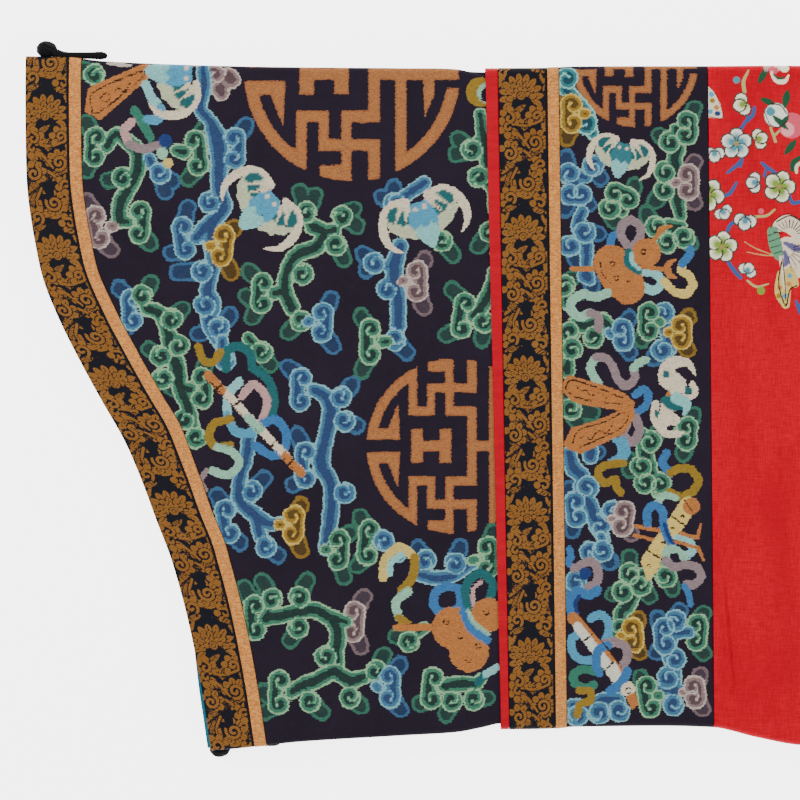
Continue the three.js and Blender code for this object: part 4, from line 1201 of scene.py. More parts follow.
def cuff_figures(w):
    """Figures and ribbons over the cuff's clouds."""
    bat(w, 621, 157, 12, 0.74, dye(58, 132, 142))
    w.ribbon(8, [(616, 234), (611, 238), (610, 245)], MID_BLUE)
    w.ribbon(8.5, [(621, 226), (630, 220), (640, 228), (637, 242), (628, 246), (621, 236), (621, 226)], MAUVE)
    # The double gourd with its crutch, sash and ribbons
    w.ribbon(9, [(641, 271), (655, 274), (661, 283), (653, 291), (642, 286)], AQUA)
    w.ribbon(8.5, [(664, 282), (674, 292), (686, 294), (693, 285), (688, 275), (681, 271), (682, 264),
                   (689, 255), (690, 250)],
             YELLOW, YELLOW, MID_BLUE)
    w.stroke(ORANGE, [(572, 269, 2.6), (596, 269, 2.6)])
    w.stroke(ORANGE, [(640, 267, 2.2), (666, 270, 2.2)])
    w.stroke(ORANGE, [(675, 260, 1.5), (668, 264, 3), (667, 270, 3.4), (669, 275, 3), (675, 278, 1.5)])
    w.stroke(ORANGE, [(652, 242, 2.4), (657, 236, 2.4), (662, 229, 3), (671, 226, 1.6)])
    w.stroke(ORANGE, [(611, 263, 18), (620, 276, 20), (628, 288, 16.5)])
    w.dot(ORANGE, 646, 253, 14.5)
    w.line(1.1, (600, 262), (602, 274), (610, 283))
    for x, y in ((612, 264), (616, 278), (628, 284), (643, 252)):
        w.diamond(1.1, x, y, 2.5)
    w.ribbon(8, [(628, 253), (628, 264), (638, 271)], SEA)
    w.ribbon(4, [(631, 254), (632, 263), (639, 269)], AQUA)
    w.ribbon(9, [(607, 293), (595, 297), (583, 294), (572, 300), (570, 310), (579, 317), (590, 313),
                 (598, 317), (598, 328)],
             MINT, MINT, MINT, MAUVE)
    w.ribbon(8.5, [(598, 384), (590, 368), (596, 357), (605, 358), (612, 366), (617, 379), (625, 386),
                   (634, 379),
                   (633, 368), (638, 363), (645, 360)], MINT, MAUVE, MAUVE, MINT)
    # A small bat
    w.stroke(CREAM, [(695, 375, 1), (688, 364, 4), (676, 362, 6), (666, 369, 7), (664, 380, 6),
                     (672, 386, 6)])
    w.stroke(CREAM, [(668, 374, 6), (680, 384, 6), (676, 396, 6)])
    w.stroke(CREAM, [(692, 384, 3), (693, 392, 5), (684, 398, 5)])
    w.stroke(CREAM, [(655, 404, 4), (655, 418, 5), (664, 430, 6), (676, 434, 4), (683, 432, 1)])
    w.stroke(CREAM, [(664, 406, 4), (668, 418, 8), (676, 420, 4)])
    w.stroke(SEA, [(664, 400, 4), (672, 402, 8), (680, 406, 4)])
    w.stroke(AQUA, [(676, 398, 6), (686, 404, 5), (684, 414, 2)])
    w.patch(SEA, (663, 370), (669, 372), (668, 378), (663, 377))
    w.patch(SEA, (685, 386), (691, 388), (691, 394), (685, 394))
    w.patch(SEA, (655, 409), (659, 412), (657, 419), (654, 416))
    w.dot(ORANGE, 668, 394, 2.2)
    w.hole(671, 428, 5, 3)
    # The clappers: two flat tongues that meet at the right
    w.ribbon(8, [(635, 395), (643, 389), (648, 396), (645, 406), (637, 412)], MID_BLUE)
    w.ribbon(9, [(635, 417), (639, 430), (632, 442), (623, 434), (626, 424)], MAUVE)
    w.patch(SKY, (609, 438), (626, 437), (631, 452), (624, 464), (606, 460), (617, 454), (617, 446))
    w.patch(ORANGE, (559, 387), (568, 375), (600, 384), (622, 392), (634, 402), (630, 412), (600, 408),
            (572, 402))
    w.patch(ORANGE, (562, 446), (571, 428), (600, 419), (618, 411), (634, 402), (634, 418), (624, 433),
            (598, 446), (580, 454))
    w.line(1.1, (565, 388), (572, 380), (600, 389), (622, 398))
    w.line(1.1, (565, 388), (575, 397), (600, 402), (622, 404))
    w.line(1.1, (572, 443), (579, 430), (604, 422), (622, 413), (628, 418), (618, 430), (596, 440),
           (580, 447))
    w.line(1.0, (576, 386), (581, 391), (586, 390), (590, 395), (600, 393), (606, 398))
    w.line(1.0, (580, 438), (586, 435), (590, 440), (598, 431), (606, 433), (612, 424))
    w.ribbon(8, [(623, 463), (610, 464), (600, 468), (598, 476), (605, 483), (615, 479), (616, 487),
                 (620, 492)], OLIVE)
    w.ribbon(8.5, [(666, 453), (662, 463), (670, 473), (680, 468), (691, 469), (698, 480), (693, 491),
                   (681, 497), (669, 492)],
             MID_BLUE, OLIVE, OLIVE, OLIVE)
    w.ribbon(7, [(656, 503), (664, 495), (675, 498)], MINT)
    # The fish drum with its rods and ribbons
    w.stroke(ORANGE, [(636, 526, 1.9), (660, 531, 1.9)])
    w.stroke(ORANGE, [(634, 535, 1.9), (658, 541, 1.9)])
    w.stroke(YELLOW, [(688, 505, 8.8), (668, 534, 8.8), (650, 560, 8.8)])
    w.patch(YELLOW, (640, 560), (656, 556), (660, 566), (647, 582))
    w.dot(ORANGE, 691, 506, 8.6)
    for x, y in ((677, 520), (653, 554)):
        w.line(1.8, (x - 7, y - 5), (x + 7, y + 5))
    w.line(1.2, (684, 500), (692, 512))
    for x, y in ((672, 528), (682, 516), (663, 542), (648, 566)):
        w.line(1.0, (x - 1.5, y), (x + 1, y - 1.5), (x + 1.5, y + 1.5))
    w.ribbon(8.5, [(647, 523), (647, 511), (654, 505), (662, 511), (663, 524), (667, 537), (672, 545)],
             MID_BLUE)
    w.ribbon(4, [(664, 524), (668, 536), (673, 543)], DEEP)
    w.ribbon(8.5, [(677, 538), (688, 541), (692, 550), (684, 557), (676, 550), (667, 550), (665, 560),
                   (674, 567), (686, 564),
                   (697, 567), (701, 576), (694, 584), (686, 584)], AQUA, MINT, MAUVE, MAUVE)
    w.hole(675, 556, 4, 3)
    w.stroke(ORANGE, [(680, 533, 1.9), (697, 538, 1.9)])
    w.stroke(ORANGE, [(697, 538, 1.9), (700, 525, 1.5)])
    w.stroke(ORANGE, [(675, 541, 1.9), (698, 548, 1.9)])
    w.stroke(ORANGE, [(698, 548, 1.9), (703, 560, 1.2)])
    w.ribbon(6.5, [(684, 586), (688, 593), (690, 604)], MID_BLUE)
    # The flute case with its ribbons
    w.ribbon(7, [(569, 549), (571, 556), (568, 562), (574, 568)], MID_BLUE)
    w.ribbon(9, [(574, 568), (582, 564), (590, 561), (597, 568), (597, 581), (587, 588)], MAUVE)
    w.dot(DEEP, 585, 573, 6)
    w.ribbon(9.5, [(597, 590), (588, 595), (577, 591), (569, 602), (572, 614)], MID_BLUE)
    w.ribbon(4, [(579, 596), (575, 603), (577, 613)], DEEP)
    w.ribbon(8.5, [(591, 618), (600, 614), (608, 622), (607, 636), (600, 645)], SKY)
    w.ribbon(8.5, [(577, 634), (571, 640), (573, 653), (583, 660), (595, 658)], SKY)
    w.ribbon(9, [(603, 643), (616, 642), (626, 648), (626, 660), (617, 669)], MAUVE)
    w.ribbon(9, [(596, 671), (582, 669), (573, 675), (576, 684), (587, 688), (593, 684)], GREEN)
    w.ribbon(8, [(579, 690), (590, 691), (590, 700), (580, 704), (577, 714)], OLIVE)
    w.stroke(ORANGE, [(573, 618, 6), (600, 650, 6.5), (621, 678, 6)])
    w.stroke(WHITE, [(577, 626, 4.6), (594, 648, 5), (616, 677, 6)])
    w.patch(WHITE, (603, 668), (614, 660), (624, 678), (614, 684))
    w.line(1.2, (582, 618), (604, 644), (621, 666))
    w.line(1.6, (583, 641), (592, 634))
    w.line(1.6, (602, 672), (613, 662))
    w.ribbon(9, [(607, 645), (598, 650), (596, 664), (599, 672)], MID_BLUE)
    w.ribbon(9.5, [(627, 671), (621, 682), (610, 691)], MID_BLUE)
    w.dot(CREAM, 628, 689, 7.5)
    w.patch(ORANGE, (626, 696), (635, 691), (638, 704), (632, 709), (628, 703))
    w.line(0.9, (625, 690), (628, 687), (631, 690), (628, 693), (625, 690))
    w.fret_roundel(635, 65, 62.5)


BROCADE_REPEAT = 76.0            # of the brocade's lotus scroll along the strip, in millimetres
GROUND_BETWEEN = 0.5             # bare ground left round each gold shape
BARE_BY_SEAM = 1.1               # and along a strip's inner seam
BORDER_START, BAND_START = 20, 228   # where the scroll begins on the border and on the cuff's band
LONG_PETAL, MIDRIB = 7, 0.17     # petals that reach past the one have a midrib of this half width
SCROLL_PITCH, SCROLL_HALF = 2.5, 0.8   # of a scroll's band: way in at each turn, and half width


def petals(x, y, count, start, end, turn, spread):
    """Depth in a fan of pointed petals about the origin, spread to both sides of turn. a runs from -1 to 1
    across each petal and t from 0 to 1 along it: (0.92*sin(pi*t^0.75)^0.6 - |a|)*pi*r/count."""
    r = np.hypot(x, y)
    angle = np.mod(np.degrees(np.arctan2(y, x)) - turn + 180, 360) - 180
    a = 2 * np.mod(angle * count / 360 + 0.5, 1) - 1
    t = np.clip((r - start) / (end - start), 0, 1)
    width = np.sin(np.pi * t**0.75) ** 0.6
    depth = (width * 0.92 - abs(a)) * np.pi * r / count
    midrib = abs(a) * np.pi * r / count - MIDRIB
    if end > LONG_PETAL:
        depth = np.where((t > 0.1) & (t < 0.8), np.minimum(depth, midrib), depth)
    depth = np.minimum(depth, np.minimum(r - start, end - r))
    return np.where(abs(angle) < spread, depth, FAR)


def scroll(x, y, radius, hand, start):
    """Depth in a band that winds in to the origin: half - |r - R|, R = radius - pitch*turned/360 for each
    turn."""
    r = np.hypot(x, y)
    turned = np.mod(hand * (np.degrees(np.arctan2(y, x)) - start), 360) / 360
    depth = np.full(x.shape, FAR)
    for k in range(int(radius / SCROLL_PITCH) + 1):
        line = radius - SCROLL_PITCH * (turned + k)
        depth = np.where(line > 0.4, np.maximum(depth, SCROLL_HALF - abs(r - line)), depth)
    return depth


def long_leaf(x, y, turn, long, wide):
    """Depth in a veined leaf from the origin at an angle: wide*sin(pi*t)^0.7 - |s|, with dark veins where |s|
    is 0 and 0.55 of that width."""
    c, s = np.cos(np.radians(turn)), np.sin(np.radians(turn))
    t = np.clip((x * c + y * s) / long, 0, 1)
    side = abs(-x * s + y * c)
    edge = wide * np.sin(np.pi * t) ** 0.7
    depth = edge - side
    veins = np.minimum(side - 0.16, abs(side - 0.55 * edge) - 0.14)
    return np.where((t > 0.12) & (t < 0.85), np.minimum(depth, veins), depth)


LOTUS, LOTUS_TURN = (-1.0, 12.0), 96.0
LOTUS_ROWS = ((15, 6.4, 12.2, 128), (11, 3.6, 8.4, 118), (9, 1.6, 5.2, 110))  # petals, start, end, spread
LOTUS_HEART = 2.2                # radius of its middle, which holds a dark ring
LOBE = 3.4                       # how far the leafy lobes stand out round a scroll
SCROLLS = (  # across, along, radius, hand, start
    (2.0, 41, 4.4, 1, 150), (-7.6, 57, 3.8, -1, 60), (6.2, 63, 4.2, 1, 240), (-8.0, 33, 3.4, 1, 300),
    (8.8, 30, 2.8, -1, 120), (-8.0, 71, 3.0, 1, 20), (9.4, 51, 2.8, -1, 200), (-7.6, 0, 3.0, -1, 80),
    (7.4, 1, 3.2, 1, 300))
FANS = (  # across, along, petals, start, end, turn, spread
    (-7.5, 45, 8, 0.5, 6.8, 200, 100), (0, 53, 8, 0.5, 6.8, 95, 100), (-1, 67, 8, 0.5, 6.6, 240, 110),
    (9, 73, 8, 0.5, 6.6, 40, 110), (-10, 20, 8, 0.5, 5.8, 170, 100), (10.5, 18, 8, 0.5, 5.8, 10, 100),
    (0, 0, 8, 0.5, 6.2, 265, 110))
LEAVES = (  # across, along, angle, length, half width
    (-11, 38, 62, 12, 1.7), (-2, 46, 140, 11, 1.8), (11, 36, 118, 10, 1.6), (-10, 66, -48, 10, 1.7),
    (4, 56, 35, 10, 1.7), (11, 68, 200, 9, 1.6), (-4, 29, 200, 9, 1.6), (4, 27, -15, 9, 1.5),
    (-6, 78, 35, 9, 1.6),
    (0, 69, 60, 9, 1.5))
VINES = (  # bends of a vine, across, along and half width
    ((-11, 0, 0.6), (-5, -3, 0.7), (2, -4, 0.7), (11, -1, 0.6)),
    ((0, 33, 0.7), (-5, 36, 0.7), (-7, 42, 0.7), (-4, 49, 0.7)),
    ((6, 36, 0.6), (9.5, 41, 0.7), (8, 50, 0.7), (2, 57, 0.7), (-3, 60, 0.6)),
    ((-5.5, 42, 0.9), (-4.5, 37, 1.0), (0, 33.5, 1.1), (5.5, 35, 1.1), (8.5, 40, 0.9)),
    ((3, 60, 0.6), (0, 64, 0.7), (-4, 68, 0.7), (-10, 69, 0.6)))


def brocade_depth(across, along):
    """How deep each place is in the gold, in millimetres. Shapes are laid one over another, each with bare
    ground round it: depth = max(min(depth, -(new + ground between)), new)."""
    depth = np.full(across.shape, FAR)

    def beside(cx, cy):
        return across - cx, np.mod(along - cy + BROCADE_REPEAT / 2, BROCADE_REPEAT) - BROCADE_REPEAT / 2

    def lay(new):
        nonlocal depth
        depth = np.maximum(np.minimum(depth, -(new + GROUND_BETWEEN)), new)

    for cx, cy, *fan in FANS:
        lay(petals(*beside(cx, cy), *fan))
    for cx, cy, *leaf in LEAVES:
        lay(long_leaf(*beside(cx, cy), *leaf))
    for vine in VINES:
        x, y = beside(vine[0][0], vine[0][1])
        lay(stroke_depth(x, y, [(px - vine[0][0], py - vine[0][1], half) for px, py, half in vine]))
    for cx, cy, radius, hand, start in SCROLLS:
        x, y = beside(cx, cy)
        lay(petals(x, y, int(2.2 * radius), radius - 0.6, radius + LOBE, start + 180 * (hand > 0), 115))
        lay(scroll(x, y, radius, hand, start))
    x, y = beside(*LOTUS)
    for count, start, end, spread in LOTUS_ROWS:
        lay(petals(x, y, count, start, end, LOTUS_TURN, spread))
    lay(disc_depth(x, y, 0, 0, LOTUS_HEART))
    far = np.hypot(x, y)
    return np.minimum(depth, np.where(far < LOTUS_HEART - 0.3, abs(far - LOTUS_HEART / 2) - 0.2, -FAR))


TEAL_PETAL, GREEN_PETAL = (dye(246, 246, 232), dye(84, 156, 170)), (dye(252, 250, 218), dye(136, 170, 62))
BRANCH, LEAF, TWIG, PINK = dye(66, 100, 158), dye(16, 92, 62), dye(196, 180, 120), dye(232, 92, 116)
PETAL_RIM, STAMENS = dye(62, 62, 54), dye(170, 150, 90)


def leaf_path(x, y, turn, long, wide):
    """A leaf as a stroke that swells in its middle, from (x, y) outwards at an angle in degrees."""
    c, s = np.cos(np.radians(turn)), np.sin(np.radians(turn))
    return [(x + c * long * t, y + s * long * t, wide * w) for t,
            w in ((0.06, 0.35), (0.35, 0.9), (0.65, 1.0), (1, 0.3))]


def blossom(w, x, y, radius, tones, turned=0.0):
    """A plum blossom: five round petals about a middle, each a pale disc with a coloured root and a dark
    rim."""
    for k in range(5):
        turn = np.radians(turned + 72 * k - 90)
        c, s = radius * np.cos(turn), radius * np.sin(turn)
        w.dot(PETAL_RIM, x + 0.56 * c, y + 0.56 * s, 0.5 * radius)
        w.dot(tones[0], x + 0.56 * c, y + 0.56 * s, 0.405 * radius)
        for share, out, size in ((0.35, 0.46, 0.33), (0.7, 0.38, 0.27), (1.0, 0.3, 0.2)):
            w.dot(mix(*tones, share), x + out * c, y + out * s, size * radius)
    w.dot(STAMENS, x, y, 0.16 * radius)


def bud(w, x, y, radius, turn, tones):
    """A half open bud: three petals fanned about a direction."""
    for off in (-70, 70, 0):
        c, s = radius * np.cos(np.radians(turn + off)), radius * np.sin(np.radians(turn + off))
        w.dot(PETAL_RIM, x + 0.5 * c, y + 0.5 * s, 0.64 * radius)
        w.dot(tones[0], x + 0.5 * c, y + 0.5 * s, 0.51 * radius)
        w.dot(mix(*tones, 0.4), x + 0.3 * c, y + 0.3 * s, 0.36 * radius)
        w.dot(tones[1], x + 0.2 * c, y + 0.2 * s, 0.26 * radius)


def silk_embroidery(w):
    """Blossom sprays, peaches and butterflies sewn on the cuff's red silk, by the shoulder."""
    for path in ([(754, 108, 1.6), (752, 116, 2), (746, 121, 1.8), (740, 130, 1.8)],
                 [(746, 114, 1.4), (748, 121, 1.6)],
                 [(741, 160, 1.6), (736, 166, 2), (727, 173, 1.4)], [(742, 160, 1.2), (740, 167, 1.4)],
                 [(761, 163, 1.4), (767, 168, 2), (776, 174, 1.6)], [(766, 168, 1.4), (764, 176, 1.6)],
                 [(788, 194, 1.6), (792, 203, 2), (800, 202, 1.8)],
                 [(736, 183, 1.4), (730, 193, 2), (723, 197, 1.6)],
                 [(738, 222, 1.6), (731, 224, 2), (727, 231, 1.8)],
                 [(725, 258, 1.6), (733, 270, 2.2), (740, 278, 1.8)],
                 [(795, 301, 1.2), (800, 312, 3)]):
        w.stroke(BRANCH, path)
    for path in ([(744, 92, 2), (743, 82, 1.9), (748, 71, 1.1)],
                 [(754, 217, 1.4), (766, 216, 1.4), (774, 210, 1.1)],
                 [(747, 281, 1.3), (756, 287, 1.3), (768, 284, 0.8)], [(770, 128, 1.3), (775, 142, 1.5)],
                 [(780, 130, 1.2), (774, 136, 1.3)]):
        w.stroke(TWIG, path)
    w.dot(TEAL_PETAL[1], 736, 80.5, 3.6)
    w.dot(PINK, 760.5, 211.5, 3)
    w.dot(GREEN_PETAL[1], 760.5, 291, 4)
    bud(w, 714, 152, 10, 90, TEAL_PETAL)
    blossom(w, 736, 144, 15.5, TEAL_PETAL)
    bud(w, 757, 140, 10, -20, GREEN_PETAL)
    bud(w, 744, 104, 11, 160, GREEN_PETAL)
    bud(w, 756, 183, 10, 180, TEAL_PETAL)
    blossom(w, 779, 187, 16, GREEN_PETAL, 20)
    blossom(w, 708, 195, 16, GREEN_PETAL, 30)
    bud(w, 722, 211, 9, 60, TEAL_PETAL)
    bud(w, 745, 219, 11, 100, TEAL_PETAL)
    blossom(w, 721.5, 247, 15.5, GREEN_PETAL, 10)
    bud(w, 746, 272, 9, -60, TEAL_PETAL)
    # Peaches and their leaves
    w.dot(PINK, 791, 126, 13)
    w.dot(dye(248, 170, 176), 787, 130, 7)
    w.dot(dye(70, 80, 80), 775.5, 115.5, 12.6)
    w.dot(TEAL_PETAL[0], 775.5, 115.5, 11.8)
    w.dot(TEAL_PETAL[1], 770, 112, 4.5)
    w.line(1.3, (770, 104), (780, 106), (786, 114))
    w.line(1.1, (764, 112), (769, 124), (778, 128), (786, 122))
    for x, y, turn, long, wide in ((760, 99, 22, 14, 3), (784, 108, -80, 17, 3.6), (772, 116, 42, 20, 3),
                                   (788, 116, 128, 14, 2.8),
                                   (784, 155, -52, 18, 3.2), (758, 84, -62, 17, 3.2)):
        w.stroke(LEAF, leaf_path(x, y, turn, long, wide))
    # A flower at the fold, and a curling leaf at the right
    for x, y, colour in ((768, 67, ROSE), (776, 67, CREAM), (784, 68, GREEN_PETAL[0]), (773, 70, PINK)):
        w.dot(colour, x, y, 5)
    w.stroke(GREEN_PETAL[0], [(771, 74, 1.5), (776, 81, 2.6), (784, 82, 2.2), (788, 76, 1)])
    w.stroke(LEAF, [(773, 75, 0.8), (778, 79, 1.4), (783, 78, 0.8)])
    w.stroke(LEAF, [(799, 158, 2), (793, 163, 3), (792, 170, 2.4)])
    w.stroke(CREAM, [(800, 163, 1.4), (796, 167, 1.8), (796, 173, 1.4)])
    # Wing of a butterfly at the seam
    w.patch(CREAM, (704, 84), (712, 90), (720, 104), (723, 119), (704, 118))
    for x, y, colour in ((712, 101, OLIVE), (716, 108, ORANGE), (710, 112, SKY), (717, 114, DEEP),
                         (711, 95, SKY)):
        w.dot(colour, x, y, 2.6)
    w.line(0.9, (707, 85), (716, 96), (722.5, 118), (708, 117))
    # The large butterfly
    w.stroke(CREAM, [(778, 226, 6), (788, 224, 9), (800, 232, 9)])
    w.stroke(CREAM, [(786, 246, 9), (800, 250, 12)])
    w.stroke(CREAM, [(788, 262, 9), (798, 268, 10)])
    w.stroke(STRAW, [(783, 276, 7), (782, 292, 8), (785, 305, 4)])
    w.stroke(STRAW, [(790, 272, 5), (794, 284, 4)])
    w.stroke(dye(110, 166, 130), [(772, 232, 5.5), (775, 246, 6.5), (778, 256, 4.5)])
    w.stroke(CREAM, [(780, 258, 2), (782, 272, 1.8), (784, 290, 1)])
    for path in ([(784, 243, 1.5), (794, 248, 3.6), (802, 250, 2)],
                 [(784, 252, 1.5), (786, 261, 3.2), (784, 266, 1.2)]):
        w.stroke(dye(110, 104, 150), path)
    for x, y, colour in ((779, 288, ORANGE), (788, 284, ORANGE), (784, 296, SKY), (778, 296, OLIVE),
                         (789, 276, SKY)):
        w.dot(colour, x, y, 2.4)
    for a, b in (((767, 236), (778, 232)), ((768, 242), (780, 238)), ((770, 248), (781, 245)),
                 ((773, 254), (782, 251))):
        w.line(0.9, a, b)
    for k in range(11):
        turn = np.radians(-165 + 15 * k)
        w.line(1.0, (789 + 8 * np.cos(turn), 236 + 8 * np.sin(turn)),
               (789 + 16 * np.cos(turn), 236 + 16 * np.sin(turn)))
    for k in range(7):
        turn = np.radians(-20 + 16 * k)
        w.line(1.0, (786 + 7 * np.cos(turn), 250 + 7 * np.sin(turn)),
               (786 + 22 * np.cos(turn), 250 + 22 * np.sin(turn)))
    w.line(1.3, (776, 222), (789, 216), (801, 222))
    w.line(1.3, (781, 262), (778, 284), (785, 306), (789, 290), (796, 286))
    w.line(1.1, (782, 258), (784, 280), (785, 300))
    w.line(0.9, (770, 228), (776, 219), (788, 214), (800, 220))
    w.stroke(TWIG, [(744, 242, 0.5), (756, 249, 0.6), (772, 255, 0.6)])
    w.stroke(TWIG, [(746, 252, 0.5), (760, 255, 0.6), (772, 256, 0.6)])


# The robe

kesi, silk, brocade, ribbon, black_cord = kesi_look(), silk_look(), brocade_look(), ribbon_look(), cord_look()
border_end, ribbon_start = inside_edge(BROCADE_WIDTH), inside_edge(BROCADE_WIDTH + SEAM)
ribbon_end = inside_edge(BROCADE_WIDTH + SEAM + RIBBON_WIDTH)
kesi_start = inside_edge(BROCADE_WIDTH + 2 * SEAM + RIBBON_WIDTH)
mouth = at_x(MOUTH_X - MOUTH_TURN)
close, dense, fine, plain = (ring(even_shares(steps)) for steps in (620, 580, 340, 200))


def strip_length(y):
    """Length along the buttoned edge from its lower end to y: the sum of sqrt(1 + slope*slope) in short
    steps."""
    at = np.linspace(-200, 200, 801)
    slope = np.gradient(edge_x(at), at)
    far = np.concatenate([[0], np.cumsum(np.hypot(1, slope[1:]) * np.diff(at))])
    return np.interp(y, at, far)


def weave_gold(piece, v, share, along, width):
    """Keeps the brocade's gold on a strip, with bare ground by its inner seam."""
    across = (share - 0.5) * width
    depth = np.where(v == OFF_PATTERN, FAR, brocade_depth(across.ravel(), along.ravel()).reshape(v.shape))
    depth = np.minimum(depth, width / 2 - BARE_BY_SEAM - across)
    put_number(piece, "gold", np.clip(depth, FAR, -FAR))


border, x, v, share = sleeve_piece("border_brocade_strip", "border_brocade", "brocade", brocade, SLEEVE,
                                   edge_x, border_end, -WALL, 0, spread((0, 1, 44)), close, 6)
along_border = strip_length(np.where(v == OFF_PATTERN, 0.0, v)) + BORDER_START
weave_gold(border, v, share, along_border, BROCADE_WIDTH)
border_ribbon, *_ = sleeve_piece("border_ribbon_strip", "border_ribbon", "ribbon", ribbon, SLEEVE,
                                 ribbon_start, ribbon_end, -WALL, RIBBON_PROUD, spread((0, 1, 8)), fine, 4)
panel, x, v, share = sleeve_piece("sleeve_panel", "sleeve_kesi", "kesi_ground", kesi, SLEEVE,
                                  kesi_start, mouth, -WALL, 0, spread((0, 0.5, 206), (0.5, 1, 16)), fine, 6)
weaving = Weaving(x, v)
sleeve_clouds(weaving)
sleeve_figures(weaving)
weaving.put_on(panel)
liner, *_ = sleeve_piece("sleeve_lining_silk", "sleeve_lining", "lining", lining_look(), SLEEVE,
                         lining_edge, at_x(MOUTH_X - MOUTH_TURN_IN - SEAM), -WALL - SEAM - LINING,
                         -WALL - SEAM,
                         spread((0, 0.1, 16), (0.1, 1, 20)), plain)
red_edge, *_ = sleeve_piece("cuff_red_edge", "cuff_edge", "cuff_silk", plain_silk_look(), CUFF,
                            across_cuff(CUFF_FREE_EDGE), across_cuff(CUFF_BROCADE), SEAM, CUFF_OUT - 0.1,
                            spread((0, 1, 8)), fine, 4)
band, x, v, share = sleeve_piece("cuff_brocade_band", "cuff_brocade", "brocade", brocade, CUFF,
                                 across_cuff(CUFF_BROCADE, SEAM), across_cuff(CUFF_RIBBON), SEAM, CUFF_OUT,
                                 spread((0, 1, 48)), close, 6)
weave_gold(band, v, share, v + BAND_START, CUFF_RIBBON[0] - CUFF_BROCADE[0])
cuff_ribbon, *_ = sleeve_piece("cuff_ribbon_band", "cuff_ribbon", "ribbon", ribbon, CUFF,
                               across_cuff(CUFF_RIBBON, SEAM), across_cuff(CUFF_KESI), SEAM,
                               CUFF_OUT + RIBBON_PROUD,
                               spread((0, 1, 8)), fine, 4)
cuff_band, x, v, share = sleeve_piece("cuff_kesi_band", "cuff_kesi", "kesi_ground", kesi, CUFF,
                                      across_cuff(CUFF_KESI, SEAM), across_cuff(CUFF_SILK), SEAM, CUFF_OUT,
                                      spread((0, 1, 130)), dense, 6)
weaving = Weaving(x, v)
cuff_clouds(weaving)
cuff_figures(weaving)
weaving.put_on(cuff_band)
silk_ring = ring(np.concatenate([np.linspace(0, 0.6, 90, endpoint=False),
                                 np.linspace(0.6, 1, 280, endpoint=False)]))
way, beyond, away, outer_rows = silk_rows(spread((0, 0.4, 105), (0.4, 1, 40))[:-1])
silk_seam = across_cuff(CUFF_SILK, SEAM)
points, v = sleeve_grid(CUFF, silk_ring, lambda y: mix(silk_seam(y), mouth(y), way) + beyond, away)
v = np.where(np.arange(len(v))[:, None] < outer_rows, v, OFF_PATTERN)
silk_piece = make_piece("cuff_red_silk", *closed_wall(points), "cuff_silk", "cuff_silk", silk)
weaving = Weaving(points[..., 0], v)
silk_embroidery(weaving)
weaving.put_on(silk_piece)
folded = folded_robe(folded_look())


def knot(node, name):
    """A ball of knotted cord on its CAD node's box, a little fuller. Its radius is the box's half size times
    1.02 + 0.09*cos(3*turn + 0.8)*sin(rise)^2 + 0.02*sin(9*(rise + turn/3))*sin(rise), for the cord's
    turns."""
    box = np.array(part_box(node)) / MM
    middle, half = box.mean(axis=0), (box[1] - box[0]) / 2 * (1.06, 1.18, 1.12)
    rise, turn = np.meshgrid(np.linspace(0, np.pi, 57)[1:-1], 2 * np.pi * np.arange(80) / 80, indexing="ij")
    swell = 1.02 + 0.09 * np.cos(3 * turn + 0.8) * np.sin(rise) ** 2
    swell = swell + 0.02 * np.sin(9 * (rise + turn / 3)) * np.sin(rise)
    points = np.stack([np.sin(rise) * np.cos(turn), np.cos(rise), np.sin(rise) * np.sin(turn)], axis=-1)
    points = points * swell[..., None] * half + middle
    tip = np.array([0, half[1] * 1.04, 0])
    make_piece(name, *capped_tube(points, middle + tip, middle - tip), node, "button_cloth", black_cord)


def doubled_cord(node, name, start, end, half_width, half_height, drop):
    """The strip that holds a knot, of doubled cord. It comes down from the knot by drop*(1 - share/0.35)^2.
    Its girth is 1 + 0.8*(1 - share/0.3)^2 by the knot, 0.22 more from 0.84 to its rounded tip, and
    0.04*sin(95*share) for the cord's turns. Round it, across is half_width*cos*(0.82 + 0.18*cos^2), up
    half_height*sin*(0.86 + 0.14*|cos|)."""
    start, end = np.array(start, float), np.array(end, float)
    ahead = (end - start) / np.linalg.norm(end - start)
    across = np.array([-ahead[1], ahead[0], 0.0])
    share = ((1 - np.cos(np.linspace(0, np.pi, 61))) / 2)[1:-1]
    round_tip = np.sqrt(np.clip(1 - (np.clip(share - 0.94, 0, 0.06) / 0.06) ** 2, 0.02, 1))
    round_tip = round_tip * np.sqrt(np.clip(share / 0.02, 0.05, 1))
    girth = 1 + 0.8 * np.clip(1 - share / 0.3, 0, 1) ** 2 + 0.22 * smooth(0.84, 0.93,
                                                                          share) + 0.04 * np.sin(95 * share)
    turn = 2 * np.pi * np.arange(24) / 24
    c, s = np.cos(turn), np.sin(turn)
    size = (round_tip * girth)[:, None]
    fall = drop * (np.clip(1 - share / 0.35, 0, 1) ** 2)[:, None] * np.array([0, 1.0, 0])
    points = (start + (end - start) * share[:, None] + fall)[:, None, :]
    points = points + (size * half_width * c * (0.82 + 0.18 * c**2))[..., None] * across
    points = points + (size * half_height * s * (0.86 + 0.14 * abs(c)))[..., None] * np.array([0, 0, 1.0])
    points, faces = capped_tube(points, start + np.array([0, drop, 0]), end)
    make_piece(name, points, faces, node, "button_cloth", black_cord)


knot("button_upper_knot", "upper_knot")
knot("button_lower_knot", "lower_knot")
doubled_cord("button_upper_strip", "upper_strip", (-239.0, 186.9, 16.3), (-208.6, 186.7, 16.3), 1.75, 1.6,
             2.4)
doubled_cord("button_lower_strip", "lower_strip", (-144.6, -188.0, 11.5), (-115.3, -186.5, 11.5), 1.5, 1.5,
             0.0)

# Studio

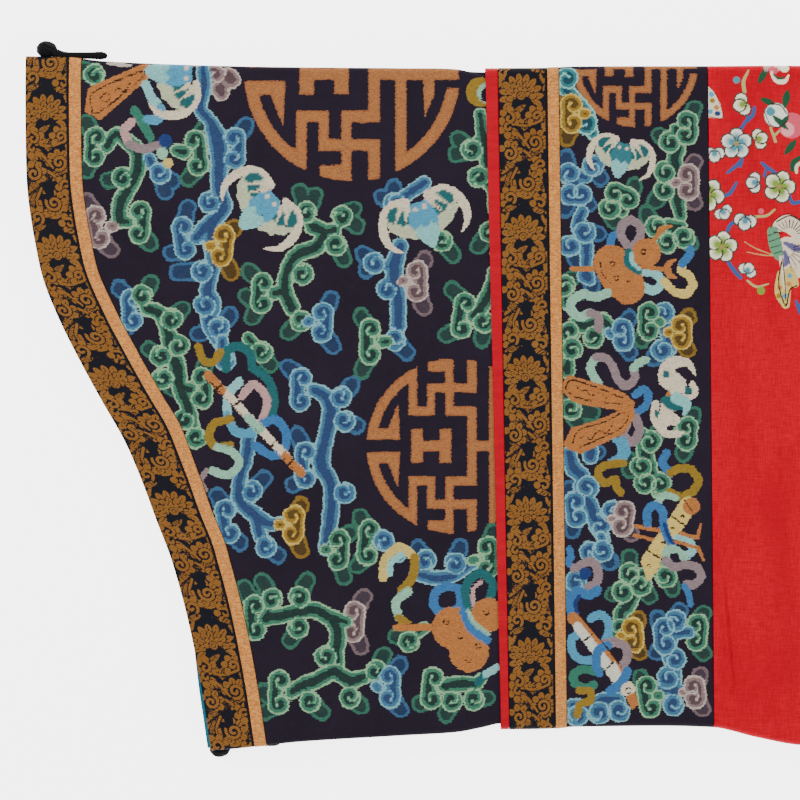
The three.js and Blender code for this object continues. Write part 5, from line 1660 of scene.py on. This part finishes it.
FLOOR_HALF, FLOOR_GLOW = 3, 4.0   # half its side in metres, and light of its own, as white as a light table
CAMERA_OVER = (-0.050, 0.0)
SEEN_WIDTH, CLOTH_TOP = 0.432, 0.0205
LENS, SENSOR = 85, 36
ROOM_LIGHT = 0.7

floor_mesh = bpy.data.meshes.new("floor")
floor_mesh.from_pydata([(x * FLOOR_HALF, y * FLOOR_HALF, 0) for x, y in ((-1, -1), (1, -1), (1, 1), (-1, 1))],
                       [], [(0, 1, 2, 3)])
floor = bpy.data.objects.new("floor", floor_mesh)
bpy.context.scene.collection.objects.link(floor)
floor_look = Look("floor", 0.9, 0.3)
floor_look.shader.inputs["Emission Color"].default_value = (1, 1, 1, 1)
floor_look.shader.inputs["Emission Strength"].default_value = FLOOR_GLOW
floor_mesh.materials.append(floor_look.finish(floor_look.blend(floor_look.noise(3.0), (0.93, 0.93, 0.93),
                                                               (0.96, 0.96, 0.96))))

camera_data = bpy.data.cameras.new("camera")
camera_data.lens, camera_data.sensor_width = LENS, SENSOR
camera = bpy.data.objects.new("camera", camera_data)
camera.location = (*CAMERA_OVER, CLOTH_TOP + SEEN_WIDTH * LENS / SENSOR)
bpy.context.scene.collection.objects.link(camera)
bpy.context.scene.camera = camera

world = bpy.data.worlds.new("studio")
bpy.context.scene.world = world
world.use_nodes = True
world.node_tree.nodes["Background"].inputs["Color"].default_value = (1, 1, 1, 1)
world.node_tree.nodes["Background"].inputs["Strength"].default_value = ROOM_LIGHT


def soft_light(name, place, size, power):
    """A square lamp that looks at the middle of the robe, its power in watts."""
    data = bpy.data.lights.new(name, "AREA")
    data.size, data.energy = size, power
    lamp = bpy.data.objects.new(name, data)
    lamp.location = place
    lamp.rotation_mode = "QUATERNION"
    lamp.rotation_quaternion = Vector([-c for c in place]).to_track_quat("-Z", "Y")
    bpy.context.scene.collection.objects.link(lamp)


soft_light("key", (-1.0, 1.0, 1.6), 0.9, 36)
soft_light("fill", (1.2, -0.7, 1.5), 1.2, 16)
